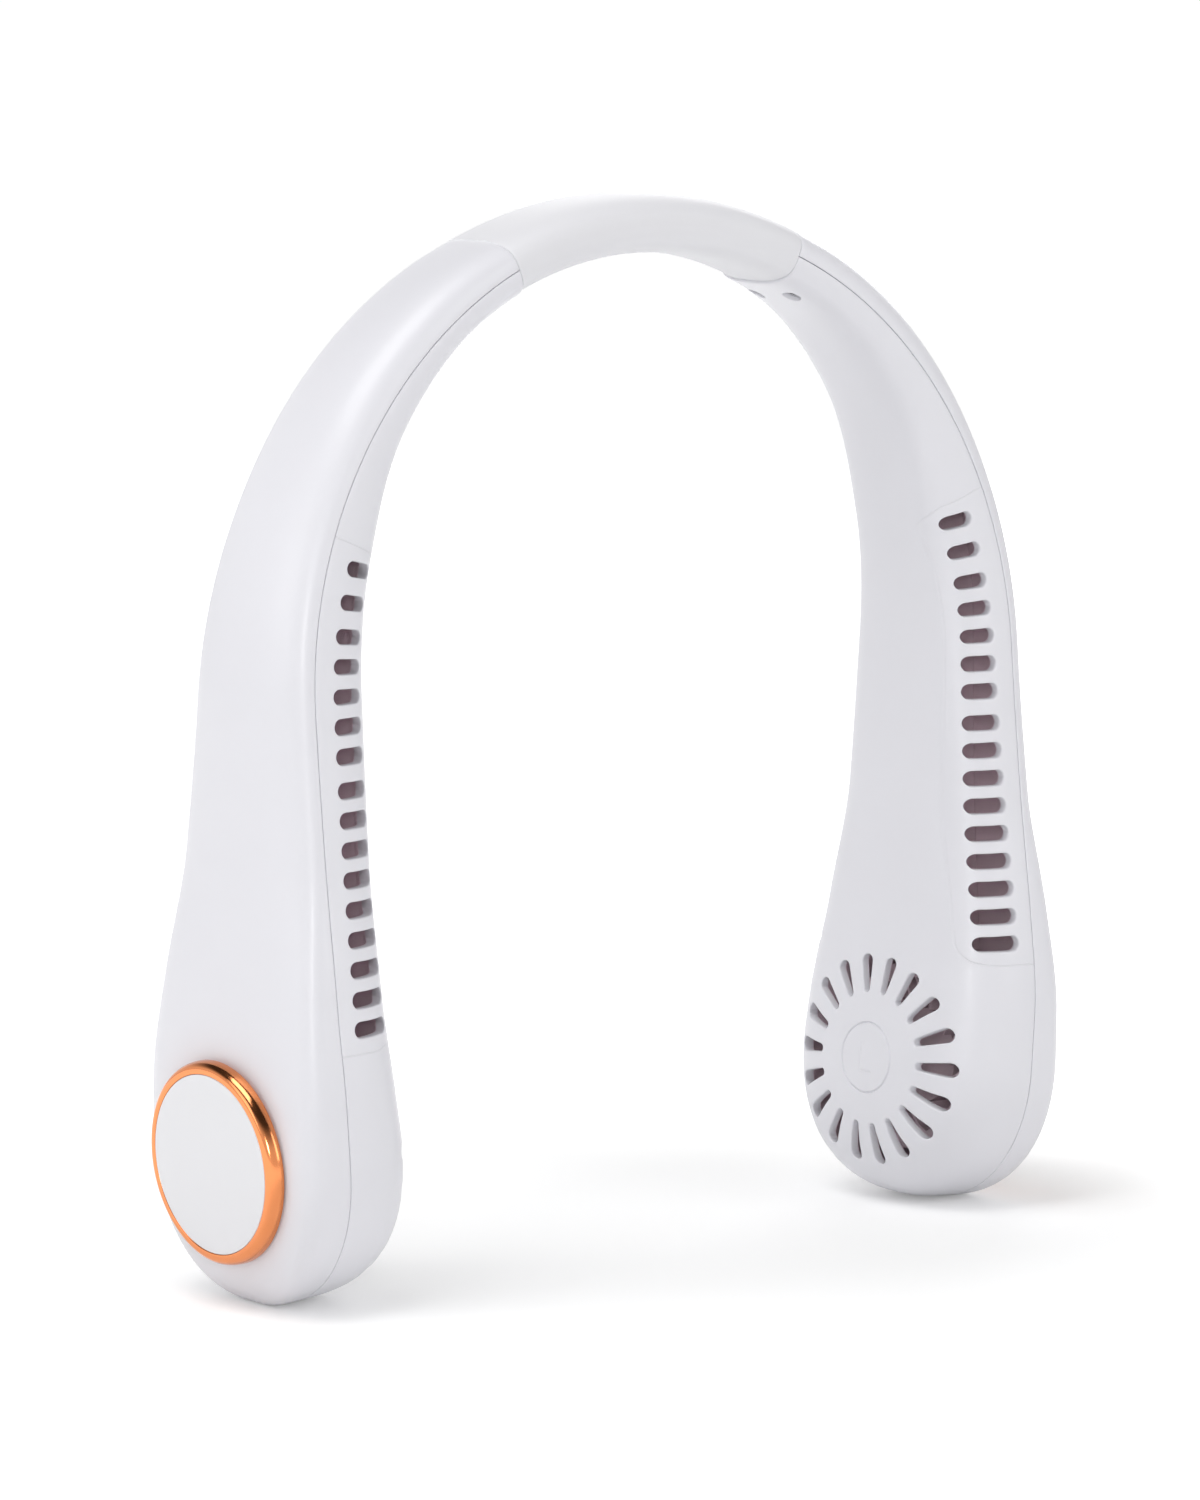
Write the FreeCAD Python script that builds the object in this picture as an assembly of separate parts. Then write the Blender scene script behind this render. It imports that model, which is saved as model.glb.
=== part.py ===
import FreeCAD, Part
import math
import os

from FreeCAD import Placement, Rotation, Vector

# Sizes are millimetres. The fan stands on its two paddle tips, band on top: X runs across the
# wearer from the left arm (-X) to the right arm (+X), Y runs from the outlet edge (-Y) to the
# control edge (+Y), Z is up. The left arm is modelled and mirrored to make the right one.

# Overall form: the parting line of the two shells, seen from the front
overall_height = 236.0
parting_radius = 100.0
lean_angle = 4.0
lean_start_height = 66.0
lean_bend_radius = 300.0
band_half_angle = 23.5

# Arm section sizes: the paddle at the fan axis, and the end that meets the band
paddle_width = 60.0
paddle_outer_depth = 12.0
paddle_inner_depth = 24.4
paddle_tip_length = 33.0
band_width = 26.0
band_outer_depth = 6.5
arm_end_inner_depth = 7.2
band_inner_step = 0.6
shell_wall = 2.0
seam_gap = 0.3

# How the section passes from the band (0) to the paddle (1), from the fan axis to the band
station_shares = (0.0, 0.06, 0.17, 0.30, 0.465, 0.626, 0.788, 0.95, 1.0)
width_shares = (1.0, 0.995, 0.838, 0.603, 0.376, 0.22, 0.106, 0.02, 0.0)
outer_depth_shares = (1.0, 0.86, 0.56, 0.25, 0.11, 0.14, 0.20, 0.08, 0.0)
inner_depth_shares = (1.0, 0.93, 0.762, 0.64, 0.65, 0.512, 0.163, 0.0, 0.0)
leg_power_shares = (0.0, 0.05, 0.35, 0.8, 1.0, 1.0, 0.7, 0.15, 0.0)
paddle_power_shares = (1.0, 1.0, 0.62, 0.0, 0.0, 0.0, 0.0, 0.0, 0.0)
section_power = 3.0
leg_outer_power = 2.3
leg_inner_power = 3.5
paddle_outer_power = 5.0
paddle_front_power = 2.8
paddle_back_power = 4.4
tip_width_power = 2.0
tip_depth_power = 3.2
tip_first_angle = 8.0
tip_section_count = 8
arm_section_count = 24
half_section_steps = 12

# Gaps: between bonded pieces, between loosely seated pieces, and round the running shaft
bond_gap = 0.05
seat_gap = 0.15
running_gap = 0.03
weld_overlap = 0.4
cut_overrun = 2.0

# Outlet slots in the front edge of the inner shell, counted from the lowest
outlet_count = 16
outlet_lowest_distance = 62.9
outlet_pitch = 6.3
outlet_wide_extra = 0.9
outlet_line_depth = 9.2
outlet_wide_after = (9, 14, 15)
outlet_height = 4.0
outlet_low_margin = 4.2
outlet_top_margin = 5.4
outlet_low_length = 10.8
outlet_top_length = 7.6
outlet_reach = 4.0

# Intake slots and groove circle on the paddle's inner face
intake_count = 18
intake_inner_radius = 15.3
intake_outer_radius = 24.0
intake_inner_width = 1.8
intake_outer_width = 3.4
intake_cut_depth = 9.5
groove_radius = 8.1
groove_width = 0.5
groove_depth = 0.35

# Trim ring and disc cover on the paddle's outer face
cover_stand = 3.2
disc_radius = 19.6
disc_thickness = 1.6
disc_edge_round = 0.35
ring_foot_radius = 21.0
ring_shoulder_radius = 22.3
ring_shoulder_depth = 3.4
ring_lip_radius = 20.4
ring_flank_radius = 21.9
ring_flank_share = 0.6
ring_ledge_width = 1.5

# Motor: positions are measured along the fan axis from the parting plane, inwards positive
motor_seat = 8.0
motor_base_radius = 13.0
motor_base_thickness = 1.6
motor_screw_circle = 10.5
motor_screw_count = 3
screw_shank_radius = 1.0
screw_hole_gap = 0.15
screw_head_radius = 1.8
screw_head_height = 1.2
screw_head_sink = 0.6
screw_cross_width = 0.5
screw_cross_length = 2.2
screw_cross_depth = 0.6
shaft_radius = 1.0
shaft_end_gap = 0.3
sleeve_radius = 3.0
sleeve_inner_end = 3.5
stator_radius = 7.3
stator_yoke = 1.5
stator_start = -4.5
stator_length = 6.0
stator_pole_count = 6
stator_pole_width = 1.8
stator_shoe_depth = 1.0
stator_shoe_gap_angle = 12.0
winding_thickness = 0.9
magnet_air_gap = 0.6
magnet_thickness = 0.9
magnet_length = 6.8
can_wall = 0.65
can_top = 1.0
can_skirt_length = 9.2
can_hub_radius = 2.2
can_hub_height = 2.5

# Blower impeller
impeller_radius = 21.5
impeller_hub_wall = 1.25
impeller_plate = 1.2
impeller_blade_count = 24
impeller_blade_root = 13.5
impeller_blade_length = 15.3
impeller_blade_thickness = 0.8
impeller_blade_sweep_angle = 22.0
impeller_shroud_width = 3.0
impeller_shroud_thickness = 1.0
impeller_edge_gap = 0.3

# Air guide between the outlet duct and the cell, with its scroll round the impeller
guide_side = -1.2
guide_thickness = 1.0
guide_scroll_radius = 24.5
guide_top_margin = 8.0

# Cell, its saddles and the leads
cell_radius = 8.25
cell_base_height = 72.0
cell_top_margin = 7.5
cell_side = 8.6
cell_depth = 6.0
cell_edge_round = 1.0
saddle_thickness = 1.6
saddle_inset_share = 0.16
lead_radius = 0.9
lead_side = 5.0
lead_depth = 3.0
motor_lead_side = 4.0
motor_lead_low_depth = 7.0
motor_lead_top_depth = 4.2
lead_end_gap = 0.3

# Band anchor in the arm's end, and the spring strip inside the band
anchor_length = 16.0
anchor_screw_distance = 8.0
anchor_screw_spacing = 12.0
anchor_screw_length = 6.4
anchor_boss_radius = 3.2
anchor_boss_depth = 3.4
recess_radius = 2.2
recess_depth = 2.2
strip_width = 12.0
strip_thickness = 0.8
strip_side = -4.0

# Controls on the back edge of the left arm
control_rise = 22.373
control_depth = 4.0
board_length = 36.0
board_width = 11.0
board_thickness = 1.2
board_setback = 9.13
board_post_radius = 1.5
board_post_inset = 2.0
socket_place = -11.0
socket_width = 8.94
socket_height = 3.26
socket_wall = 0.3
socket_mouth_depth = 4.2
socket_tongue_width = 6.7
socket_tongue_thickness = 0.7
socket_clearance = 0.2
button_place = 8.0
button_length = 10.0
button_width = 5.0
button_proud = 0.5
button_clearance = 0.25
button_flange = 0.8
button_flange_thickness = 0.8
button_flange_gap = 0.85
button_edge_round = 0.4
button_switch_gap = 0.9
switch_length = 6.0
switch_width = 3.6
switch_knob_radius = 1.0
switch_knob_height = 0.4
light_count = 3
light_pitch = 2.4
light_first_place = -4.2
light_radius = 0.8
light_root_gap = 0.6

# Worked out from the sizes above
lean = math.radians(lean_angle)
arc_centre_height = overall_height - band_outer_depth - parting_radius
lean_end_x = -parting_radius + lean_bend_radius * (1 - math.cos(lean))
lean_end_height = lean_start_height - lean_bend_radius * math.sin(lean)
paddle_run = lean_end_height / math.cos(lean)
bend_run = lean_bend_radius * lean
leg_run = arc_centre_height - lean_start_height
leg_top_distance = paddle_run + bend_run + leg_run
joint_distance = leg_top_distance + parting_radius * math.radians(90 - band_half_angle)
arm_span = joint_distance - paddle_tip_length
cell_length = arc_centre_height - cell_base_height - cell_top_margin
saddle_inset = saddle_inset_share * cell_length
control_distance = leg_top_distance + control_rise
band_inner_depth = arm_end_inner_depth - band_inner_step
cover_face = paddle_outer_depth + cover_stand
far = 2 * overall_height

AXIS_X = Vector(1, 0, 0)
AXIS_Y = Vector(0, 1, 0)
AXIS_Z = Vector(0, 0, 1)


def frame_at(distance):
    """Placement on the left parting line: X inwards, Y across the edge, Z along the arm upwards."""
    if distance <= paddle_run:
        turn = lean
        x = lean_end_x + (paddle_run - distance) * math.sin(lean)
        z = lean_end_height - (paddle_run - distance) * math.cos(lean)
    elif distance <= paddle_run + bend_run:
        turn = lean - (distance - paddle_run) / lean_bend_radius
        x = -parting_radius + lean_bend_radius * (1 - math.cos(turn))
        z = lean_start_height - lean_bend_radius * math.sin(turn)
    elif distance <= leg_top_distance:
        turn = 0.0
        x = -parting_radius
        z = lean_start_height + distance - paddle_run - bend_run
    else:
        turn = -(distance - leg_top_distance) / parting_radius
        x = -parting_radius * math.cos(turn)
        z = arc_centre_height - parting_radius * math.sin(turn)
    return Placement(Vector(x, 0, z), Rotation(AXIS_Y, -math.degrees(turn)))


def eased(shares, place):
    """Monotone curve through the station shares, level at both ends."""
    steps = [b - a for a, b in zip(station_shares, station_shares[1:])]
    rises = [(b - a) / step for a, b, step in zip(shares, shares[1:], steps)]
    slopes = [0.0]
    for before, after in zip(rises, rises[1:]):
        slopes.append(0.0 if before * after <= 0 else 2 * before * after / (before + after))
    slopes.append(0.0)
    place = min(max(place, 0.0), 1.0)
    index = max(i for i in range(len(steps)) if station_shares[i] <= place)
    step = steps[index]
    t = (place - station_shares[index]) / step
    start = shares[index] * (1 + 2 * t) * (1 - t) ** 2 + slopes[index] * step * t * (1 - t) ** 2
    end = shares[index + 1] * t * t * (3 - 2 * t) + slopes[index + 1] * step * t * t * (t - 1)
    return start + end


def section_sizes(distance, inset):
    """Half width, outer depth and inner depth of the arm's section, drawn in by an inset."""
    place = (distance - paddle_tip_length) / arm_span
    width = band_width + (paddle_width - band_width) * eased(width_shares, place)
    outer = band_outer_depth + (paddle_outer_depth - band_outer_depth) * eased(outer_depth_shares, place)
    inner_growth = paddle_inner_depth - arm_end_inner_depth
    inner = arm_end_inner_depth + inner_growth * eased(inner_depth_shares, place)
    past = min(max((paddle_tip_length - distance) / (paddle_tip_length - inset), 0.0), 1.0)
    round_width = (1 - past ** tip_width_power) ** (1 / tip_width_power)
    round_depth = (1 - past ** tip_depth_power) ** (1 / tip_depth_power)
    return (width / 2 - inset) * round_width, (outer - inset) * round_depth, (inner - inset) * round_depth


def section_powers(distance):
    """Powers of the arm's section, front and back, of its outer half and then of its inner half."""
    place = (distance - paddle_tip_length) / arm_span
    leg_share, paddle_share = eased(leg_power_shares, place), eased(paddle_power_shares, place)
    outer_leg = section_power + (leg_outer_power - section_power) * leg_share
    inner_leg = section_power + (leg_inner_power - section_power) * leg_share
    outer = outer_leg + (paddle_outer_power - section_power) * paddle_share
    front = inner_leg + (paddle_front_power - section_power) * paddle_share
    back = inner_leg + (paddle_back_power - section_power) * paddle_share
    return (outer, outer), (front, back)


def half_section_edge(half_width, depth, powers, side, frame):
    """Half of a superellipse from the front seam to the back seam, on one side of the parting line."""
    points = []
    for step in range(half_section_steps + 1):
        angle = math.pi * (1 - step / half_section_steps)
        across, down = math.cos(angle), math.sin(angle)
        power = powers[0] if across < 0 else powers[1]
        reach = (abs(across) ** power + abs(down) ** power) ** (-1 / power)
        points.append(frame.multVec(Vector(side * depth * reach * down, half_width * reach * across, 0)))
    curve = Part.BSplineCurve()
    even = [step / half_section_steps for step in range(half_section_steps + 1)]
    curve.interpolate(Points=points, Parameters=even)
    return curve.toShape()


def section_wire(sizes, powers, frame):
    """Closed section: the outer half and the inner half, meeting at the seam."""
    half_width, outer, inner = sizes
    front = half_section_edge(half_width, outer, powers[0], -1, frame)
    back = half_section_edge(half_width, inner, powers[1], 1, frame)
    return Part.Wire([front, back])


def arm_loft(inset, start, end):
    """Solid through the arm's sections between two distances from the tip."""
    cap = paddle_tip_length - inset
    spread = (90 - tip_first_angle) / tip_section_count
    angles = [math.radians(tip_first_angle + spread * n) for n in range(tip_section_count)]
    tips = [paddle_tip_length - cap * math.cos(angle) for angle in angles]
    pitch = arm_span / arm_section_count
    rest = [paddle_tip_length + pitch * n for n in range(arm_section_count + 1)]
    first = max(start, tips[0])
    between = [p for p in tips[1:] + rest if first + pitch / 2 < p < end - pitch / 2]
    places = [first] + between + [end]
    wires = [section_wire(section_sizes(p, inset), section_powers(p), frame_at(p)) for p in places]
    return Part.makeLoft(wires, True, False)


def parting_solid(offset):
    """Everything outside the left parting line moved inwards by an offset."""
    tip = frame_at(0).multVec(Vector(offset, 0, -cut_overrun))
    low = frame_at(paddle_run)
    bend = frame_at(paddle_run + bend_run / 2)
    leg = frame_at(paddle_run + bend_run)
    top = frame_at(leg_top_distance)
    shoulder = frame_at((leg_top_distance + joint_distance) / 2)
    end = frame_at(joint_distance + parting_radius * math.radians(band_half_angle))
    inward = Vector(offset, 0, 0)
    last = end.multVec(inward)
    edges = [
        Part.makeLine(tip, low.multVec(inward)),
        Part.Arc(low.multVec(inward), bend.multVec(inward), leg.multVec(inward)).toShape(),
        Part.makeLine(leg.multVec(inward), top.multVec(inward)),
        Part.Arc(top.multVec(inward), shoulder.multVec(inward), last).toShape(),
    ]
    corners = [last, Vector(last.x, 0, far), Vector(-far, 0, far), Vector(-far, 0, tip.z), tip]
    edges += [Part.makeLine(a, b) for a, b in zip(corners, corners[1:])]
    face = Part.Face(Part.Wire(edges))
    face.translate(Vector(0, -far, 0))
    return face.extrude(Vector(0, 2 * far, 0))


def placed(shape, distance):
    """A shape made in the local frame at a distance along the left arm, moved there."""
    moved = shape.copy()
    moved.Placement = frame_at(distance).multiply(moved.Placement)
    return moved


def mirrored(shape):
    """The same piece on the right arm."""
    return shape.mirror(Vector(0, 0, 0), AXIS_X)


def rod(radius, start, end, y=0.0, z=0.0):
    """Cylinder along the local X axis."""
    return Part.makeCylinder(radius, end - start, Vector(start, y, z), AXIS_X)


def tube(inner, outer, start, end):
    """Hollow cylinder along the local X axis."""
    return rod(outer, start, end).cut(rod(inner, start - cut_overrun, end + cut_overrun))


def turned(shape, angle):
    """A copy turned about the local X axis."""
    copy = shape.copy()
    copy.rotate(Vector(0, 0, 0), AXIS_X, angle)
    return copy


def stadium(length, height, depth):
    """Stadium prism: length along Z, height along X, from Y = 0 to Y = depth."""
    radius = height / 2
    half = length / 2 - radius
    left, right = Vector(-radius, 0, 0), Vector(radius, 0, 0)
    up = Vector(0, 0, half)
    edges = [
        Part.makeLine(left - up, left + up),
        Part.Arc(left + up, up + Vector(0, 0, radius), right + up).toShape(),
        Part.makeLine(right + up, right - up),
        Part.Arc(right - up, Vector(0, 0, -radius) - up, left - up).toShape(),
    ]
    return Part.Face(Part.Wire(edges)).extrude(Vector(0, depth, 0))


def outlet_distances():
    """Distance of each outlet slot from the tip, the lowest first, evenly spaced on the slots' own line."""
    places = []
    place = outlet_lowest_distance
    shrink = 1 - outlet_line_depth / parting_radius
    for number in range(1, outlet_count + 1):
        round_part = max(place - leg_top_distance, 0.0)
        places.append(place - round_part + round_part / shrink)
        place += outlet_pitch + (outlet_wide_extra if number in outlet_wide_after else 0.0)
    return places


def outlet_cutters():
    """Slots pulled straight out of the front edge, one frame each."""
    cutters = []
    for number, distance in enumerate(outlet_distances()):
        share = number / (outlet_count - 1)
        margin = outlet_low_margin + (outlet_top_margin - outlet_low_margin) * share
        length = outlet_low_length + (outlet_top_length - outlet_low_length) * share
        slot = stadium(length, outlet_height, paddle_width / 2 + cut_overrun - outlet_reach)
        slot.rotate(Vector(0, 0, 0), AXIS_Y, 90)
        slot.translate(Vector(margin + length / 2, -paddle_width / 2 - cut_overrun, 0))
        cutters.append(placed(slot, distance))
    return cutters


def intake_cutters():
    """Tapered radial slots through the paddle's inner face."""
    near, wide = intake_inner_width / 2, intake_outer_width / 2
    first, last = intake_inner_radius + near, intake_outer_radius - wide
    low_front, low_back = Vector(0, -near, first), Vector(0, near, first)
    top_front, top_back = Vector(0, -wide, last), Vector(0, wide, last)
    edges = [
        Part.makeLine(low_front, top_front),
        Part.Arc(top_front, Vector(0, 0, intake_outer_radius), top_back).toShape(),
        Part.makeLine(top_back, low_back),
        Part.Arc(low_back, Vector(0, 0, intake_inner_radius), low_front).toShape(),
    ]
    slot = Part.Face(Part.Wire(edges)).extrude(Vector(intake_cut_depth + cut_overrun, 0, 0))
    slot.translate(Vector(paddle_inner_depth - intake_cut_depth, 0, 0))
    pitch = 360 / intake_count
    return [placed(turned(slot, pitch * (n + 0.5)), paddle_tip_length) for n in range(intake_count)]


def groove_cutter():
    """Shallow circle round the middle of the intake."""
    half = groove_width / 2
    floor = paddle_inner_depth - groove_depth
    ring = tube(groove_radius - half, groove_radius + half, floor, paddle_inner_depth + cut_overrun)
    return placed(ring, paddle_tip_length)


def cross_head_screw(length):
    """Screw along local X: head from 0 outwards (-X), shank inwards (+X), cross recess in the head."""
    screw = rod(screw_head_radius, -screw_head_height, 0).fuse(rod(screw_shank_radius, 0, length))
    for wide, tall in ((screw_cross_length, screw_cross_width), (screw_cross_width, screw_cross_length)):
        corner = Vector(-screw_head_height - cut_overrun, -wide / 2, -tall / 2)
        screw = screw.cut(Part.makeBox(screw_cross_depth + cut_overrun, wide, tall, corner))
    return screw.removeSplitter()


def anchor_screw_places():
    """Side positions of the two screws in the arm's end."""
    return (-anchor_screw_spacing / 2, anchor_screw_spacing / 2)


def anchor_screw_depth():
    """Depth of the recess floor under the anchor screws' heads, from the parting line."""
    return section_sizes(joint_distance - anchor_screw_distance, 0)[2] - recess_depth


def control_half_width(offset):
    """Half width of the arm at a place along the control board."""
    return section_sizes(control_distance + offset, 0)[0]


def board_side():
    """Side position of the circuit board's inner face."""
    return control_half_width(0) - board_setback


def motor_screw_angles():
    """Angles of the motor screws about the fan axis."""
    return [360 * n / motor_screw_count for n in range(motor_screw_count)]


def motor_screw_floor():
    """Where the motor screws' heads sit, along the fan axis."""
    return -paddle_outer_depth + screw_head_sink


def build_outer_shell(hollow):
    """Outer half of the arm with the flat motor seat inside and the motor screws' holes."""
    seat = rod(motor_base_radius, -paddle_outer_depth + shell_wall / 2, -motor_seat)
    shell = hollow.common(parting_solid(-seam_gap / 2)).fuse(placed(seat, paddle_tip_length))
    hole_radius = screw_shank_radius + screw_hole_gap
    head_radius = screw_head_radius + screw_hole_gap
    for angle in motor_screw_angles():
        hole = rod(hole_radius, -cover_face, 0, 0, motor_screw_circle)
        head = rod(head_radius, -cover_face, motor_screw_floor(), 0, motor_screw_circle)
        shell = shell.cut(placed(turned(hole.fuse(head), angle), paddle_tip_length))
    return shell.removeSplitter()


def saddles():
    """Two ribs in the inner shell, cut round, that carry the cell."""
    ribs = []
    low = cell_base_height + saddle_inset
    high = cell_base_height + cell_length - saddle_inset - saddle_thickness
    for height in (low, high):
        corner = Vector(-parting_radius + seam_gap, cell_side, height)
        ribs.append(Part.makeBox(paddle_inner_depth, paddle_width, saddle_thickness, corner))
    start = cell_base_height - saddle_inset
    core = arm_loft(shell_wall - weld_overlap, start, start + cell_length + 2 * saddle_inset)
    bed = cell_blank(cell_radius + seat_gap, cut_overrun)
    return [core.common(rib).cut(bed) for rib in ribs]


def cell_blank(radius, extra):
    """Cylinder in the cell's place, longer by an extra length at both ends."""
    base = Vector(-parting_radius + cell_depth, cell_side, cell_base_height - extra)
    return Part.makeCylinder(radius, cell_length + 2 * extra, base, AXIS_Z)


def anchor_bosses(radius, depth):
    """Round bosses inside the arm's end, under the anchor screws' recesses."""
    surface = section_sizes(joint_distance - anchor_screw_distance, 0)[2]
    top = surface - shell_wall / 2
    return [
        placed(rod(radius, surface - depth, top, y), joint_distance - anchor_screw_distance)
        for y in anchor_screw_places()
    ]


def build_inner_shell(hollow):
    """Inner half of the arm with slots, groove, cell saddles and screw recesses."""
    shell = hollow.cut(parting_solid(seam_gap / 2))
    shell = shell.multiFuse(saddles() + anchor_bosses(anchor_boss_radius, anchor_boss_depth))
    cutters = outlet_cutters() + intake_cutters() + [groove_cutter()]
    floor = anchor_screw_depth()
    for y in anchor_screw_places():
        hole = rod(screw_shank_radius + screw_hole_gap, 0, paddle_inner_depth, y)
        recess = rod(recess_radius, floor, paddle_inner_depth, y)
        cutters.append(placed(hole.fuse(recess), joint_distance - anchor_screw_distance))
    return shell.cut(cutters).removeSplitter()


def board_posts():
    """Posts that hold the board off the back wall."""
    posts = []
    reach = board_length / 2 - board_post_inset
    for place in (-reach, reach):
        top = control_half_width(place) - shell_wall + weld_overlap
        base = Vector(control_depth, board_side() + board_thickness, place)
        post = Part.makeCylinder(board_post_radius, top - base.y, base, AXIS_Y)
        posts.append(placed(post, control_distance))
    return posts


def at_control(shape, place, side):
    """A shape moved to a place along the board and out to a side position, then onto the arm."""
    moved = shape.copy()
    moved.translate(Vector(control_depth, side, place))
    return placed(moved, control_distance)


def control_openings():
    """Openings in the back edge for the socket, the button and the lights."""
    reach = paddle_width / 2
    side = board_side() + board_thickness
    grown = 2 * socket_clearance
    mouth = stadium(socket_width + grown, socket_height + grown, reach)
    grown = 2 * button_clearance
    window = stadium(button_length + grown, button_width + grown, reach)
    openings = [at_control(mouth, socket_place, side), at_control(window, button_place, side)]
    for number in range(light_count):
        hole = Part.makeCylinder(light_radius + bond_gap, reach, Vector(0, 0, 0), AXIS_Y)
        openings.append(at_control(hole, light_first_place + number * light_pitch, side))
    return openings


def build_trim_ring():
    """Round-shouldered ring on the paddle, cut to sit on the shell, with a ledge for the disc."""
    under = -cover_face + ring_shoulder_depth
    flank_x = under - ring_shoulder_depth * ring_flank_share
    disc_seat = -cover_face + disc_thickness
    bore = disc_radius + bond_gap
    ledge = bore - ring_ledge_width
    base = Vector(-motor_seat, ring_foot_radius, 0)
    foot = Vector(under, ring_foot_radius, 0)
    shoulder = Vector(under, ring_shoulder_radius, 0)
    lip = Vector(-cover_face, ring_lip_radius, 0)
    edges = [
        Part.makeLine(base, foot),
        Part.makeLine(foot, shoulder),
        Part.Arc(shoulder, Vector(flank_x, ring_flank_radius, 0), lip).toShape(),
    ]
    corners = [
        lip,
        Vector(-cover_face, bore, 0),
        Vector(disc_seat, bore, 0),
        Vector(disc_seat, ledge, 0),
        Vector(-motor_seat, ledge, 0),
        base,
    ]
    edges += [Part.makeLine(a, b) for a, b in zip(corners, corners[1:])]
    blank = Part.Face(Part.Wire(edges)).revolve(Vector(0, 0, 0), AXIS_X, 360)
    seat = arm_loft(-bond_gap, 0, paddle_tip_length + paddle_width)
    return placed(blank, paddle_tip_length).cut(seat)


def build_disc_cover():
    """Flat disc in the ring, its front edge rounded."""
    disc = rod(disc_radius, -cover_face, -cover_face + disc_thickness)
    rims = [e for e in disc.Edges if len(e.Vertexes) == 1]
    front = [e for e in rims if e.BoundBox.XMax < -cover_face + disc_edge_round]
    return placed(disc.makeFillet(disc_edge_round, front), paddle_tip_length)


def build_motor_base():
    """Round plate on the motor seat, bored for the sleeve and the screws."""
    plate = rod(motor_base_radius, -motor_seat, -motor_seat + motor_base_thickness)
    plate = plate.cut(rod(sleeve_radius + bond_gap, -cover_face, 0))
    for angle in motor_screw_angles():
        hole = rod(screw_shank_radius + bond_gap, -cover_face, 0, 0, motor_screw_circle)
        plate = plate.cut(turned(hole, angle))
    return placed(plate, paddle_tip_length)


def build_motor_screws():
    """Screws from under the disc cover into the motor base."""
    length = -motor_seat + motor_base_thickness - motor_screw_floor()
    screws = []
    for angle in motor_screw_angles():
        screw = cross_head_screw(length)
        screw.translate(Vector(motor_screw_floor(), 0, motor_screw_circle))
        screws.append(placed(turned(screw, angle), paddle_tip_length))
    return Part.makeCompound(screws)


def build_sleeve():
    """Plain bearing sleeve that stands in the motor base and carries the stator."""
    sleeve = tube(shaft_radius + running_gap, sleeve_radius, -motor_seat, sleeve_inner_end)
    return placed(sleeve, paddle_tip_length)


def build_stator():
    """Iron core: a ring on the sleeve with poles and pole shoes."""
    end = stator_start + stator_length
    yoke_radius = sleeve_radius + bond_gap + stator_yoke
    shoe_start = stator_radius - stator_shoe_depth
    core = tube(sleeve_radius + bond_gap, yoke_radius, stator_start, end)
    shoes = tube(shoe_start, stator_radius, stator_start, end)
    half = stator_pole_width / 2
    pitch = 360 / stator_pole_count
    cut_width = 2 * stator_radius * math.sin(math.radians(stator_shoe_gap_angle / 2))
    poles = []
    for number in range(stator_pole_count):
        corner = Vector(stator_start, -half, yoke_radius - half)
        pole = Part.makeBox(stator_length, stator_pole_width, shoe_start - yoke_radius + 2 * half, corner)
        poles.append(turned(pole, pitch * number))
        corner = Vector(stator_start - cut_overrun, -cut_width / 2, 0)
        gap = Part.makeBox(stator_length + 2 * cut_overrun, cut_width, stator_radius + cut_overrun, corner)
        shoes = shoes.cut(turned(gap, pitch * (number + 1 / 2)))
    keep = rod(stator_radius, stator_start, end)
    core = core.multiFuse(poles + [shoes]).common(keep)
    return placed(core.removeSplitter(), paddle_tip_length)


def build_windings():
    """One coil round each pole."""
    yoke_radius = sleeve_radius + bond_gap + stator_yoke
    inner = yoke_radius + seat_gap
    hole_half = stator_pole_width / 2 + bond_gap
    grown = winding_thickness
    coil_half = hole_half + grown
    shoe_inside = stator_radius - stator_shoe_depth - seat_gap
    height = math.sqrt(shoe_inside ** 2 - coil_half ** 2) - inner
    start = stator_start - grown
    length = stator_length + 2 * grown
    coil = Part.makeBox(length, 2 * coil_half, height, Vector(start, -coil_half, inner))
    corner = Vector(stator_start - bond_gap, -hole_half, inner - cut_overrun)
    hole_length = stator_length + 2 * bond_gap
    hole = Part.makeBox(hole_length, 2 * hole_half, height + 2 * cut_overrun, corner)
    side = math.tan(math.radians(180 / stator_pole_count)) * stator_radius - seat_gap
    point = Vector(start, 0, seat_gap)
    left, right = Vector(start, -side, stator_radius), Vector(start, side, stator_radius)
    wedge = Part.Face(Part.makePolygon([point, right, left, point])).extrude(Vector(length, 0, 0))
    coil = coil.cut(hole).common(wedge)
    pitch = 360 / stator_pole_count
    coils = [placed(turned(coil, pitch * n), paddle_tip_length) for n in range(stator_pole_count)]
    return Part.makeCompound(coils)


def magnet_radii():
    """Inner and outer radius of the ring magnet."""
    inner = stator_radius + magnet_air_gap
    return inner, inner + magnet_thickness


def can_radii():
    """Inner and outer radius of the rotor can's skirt."""
    inner = magnet_radii()[1] + bond_gap
    return inner, inner + can_wall


def can_span():
    """Open end, underside and top of the rotor can along the fan axis."""
    open_end = stator_start - can_wall
    return open_end, open_end + can_skirt_length, open_end + can_skirt_length + can_top


def build_magnet():
    """Ring magnet inside the rotor can."""
    inner, outer = magnet_radii()
    return placed(tube(inner, outer, stator_start, stator_start + magnet_length), paddle_tip_length)


def build_rotor_can():
    """Steel cup with a hub that grips the shaft."""
    inner, outer = can_radii()
    open_end, under, top = can_span()
    can = rod(outer, open_end, top).cut(rod(inner, open_end - cut_overrun, under))
    can = can.fuse(rod(can_hub_radius, under, top + can_hub_height))
    can = can.cut(rod(shaft_radius + bond_gap, open_end, top + can_hub_height + cut_overrun))
    return placed(can.removeSplitter(), paddle_tip_length)


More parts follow.
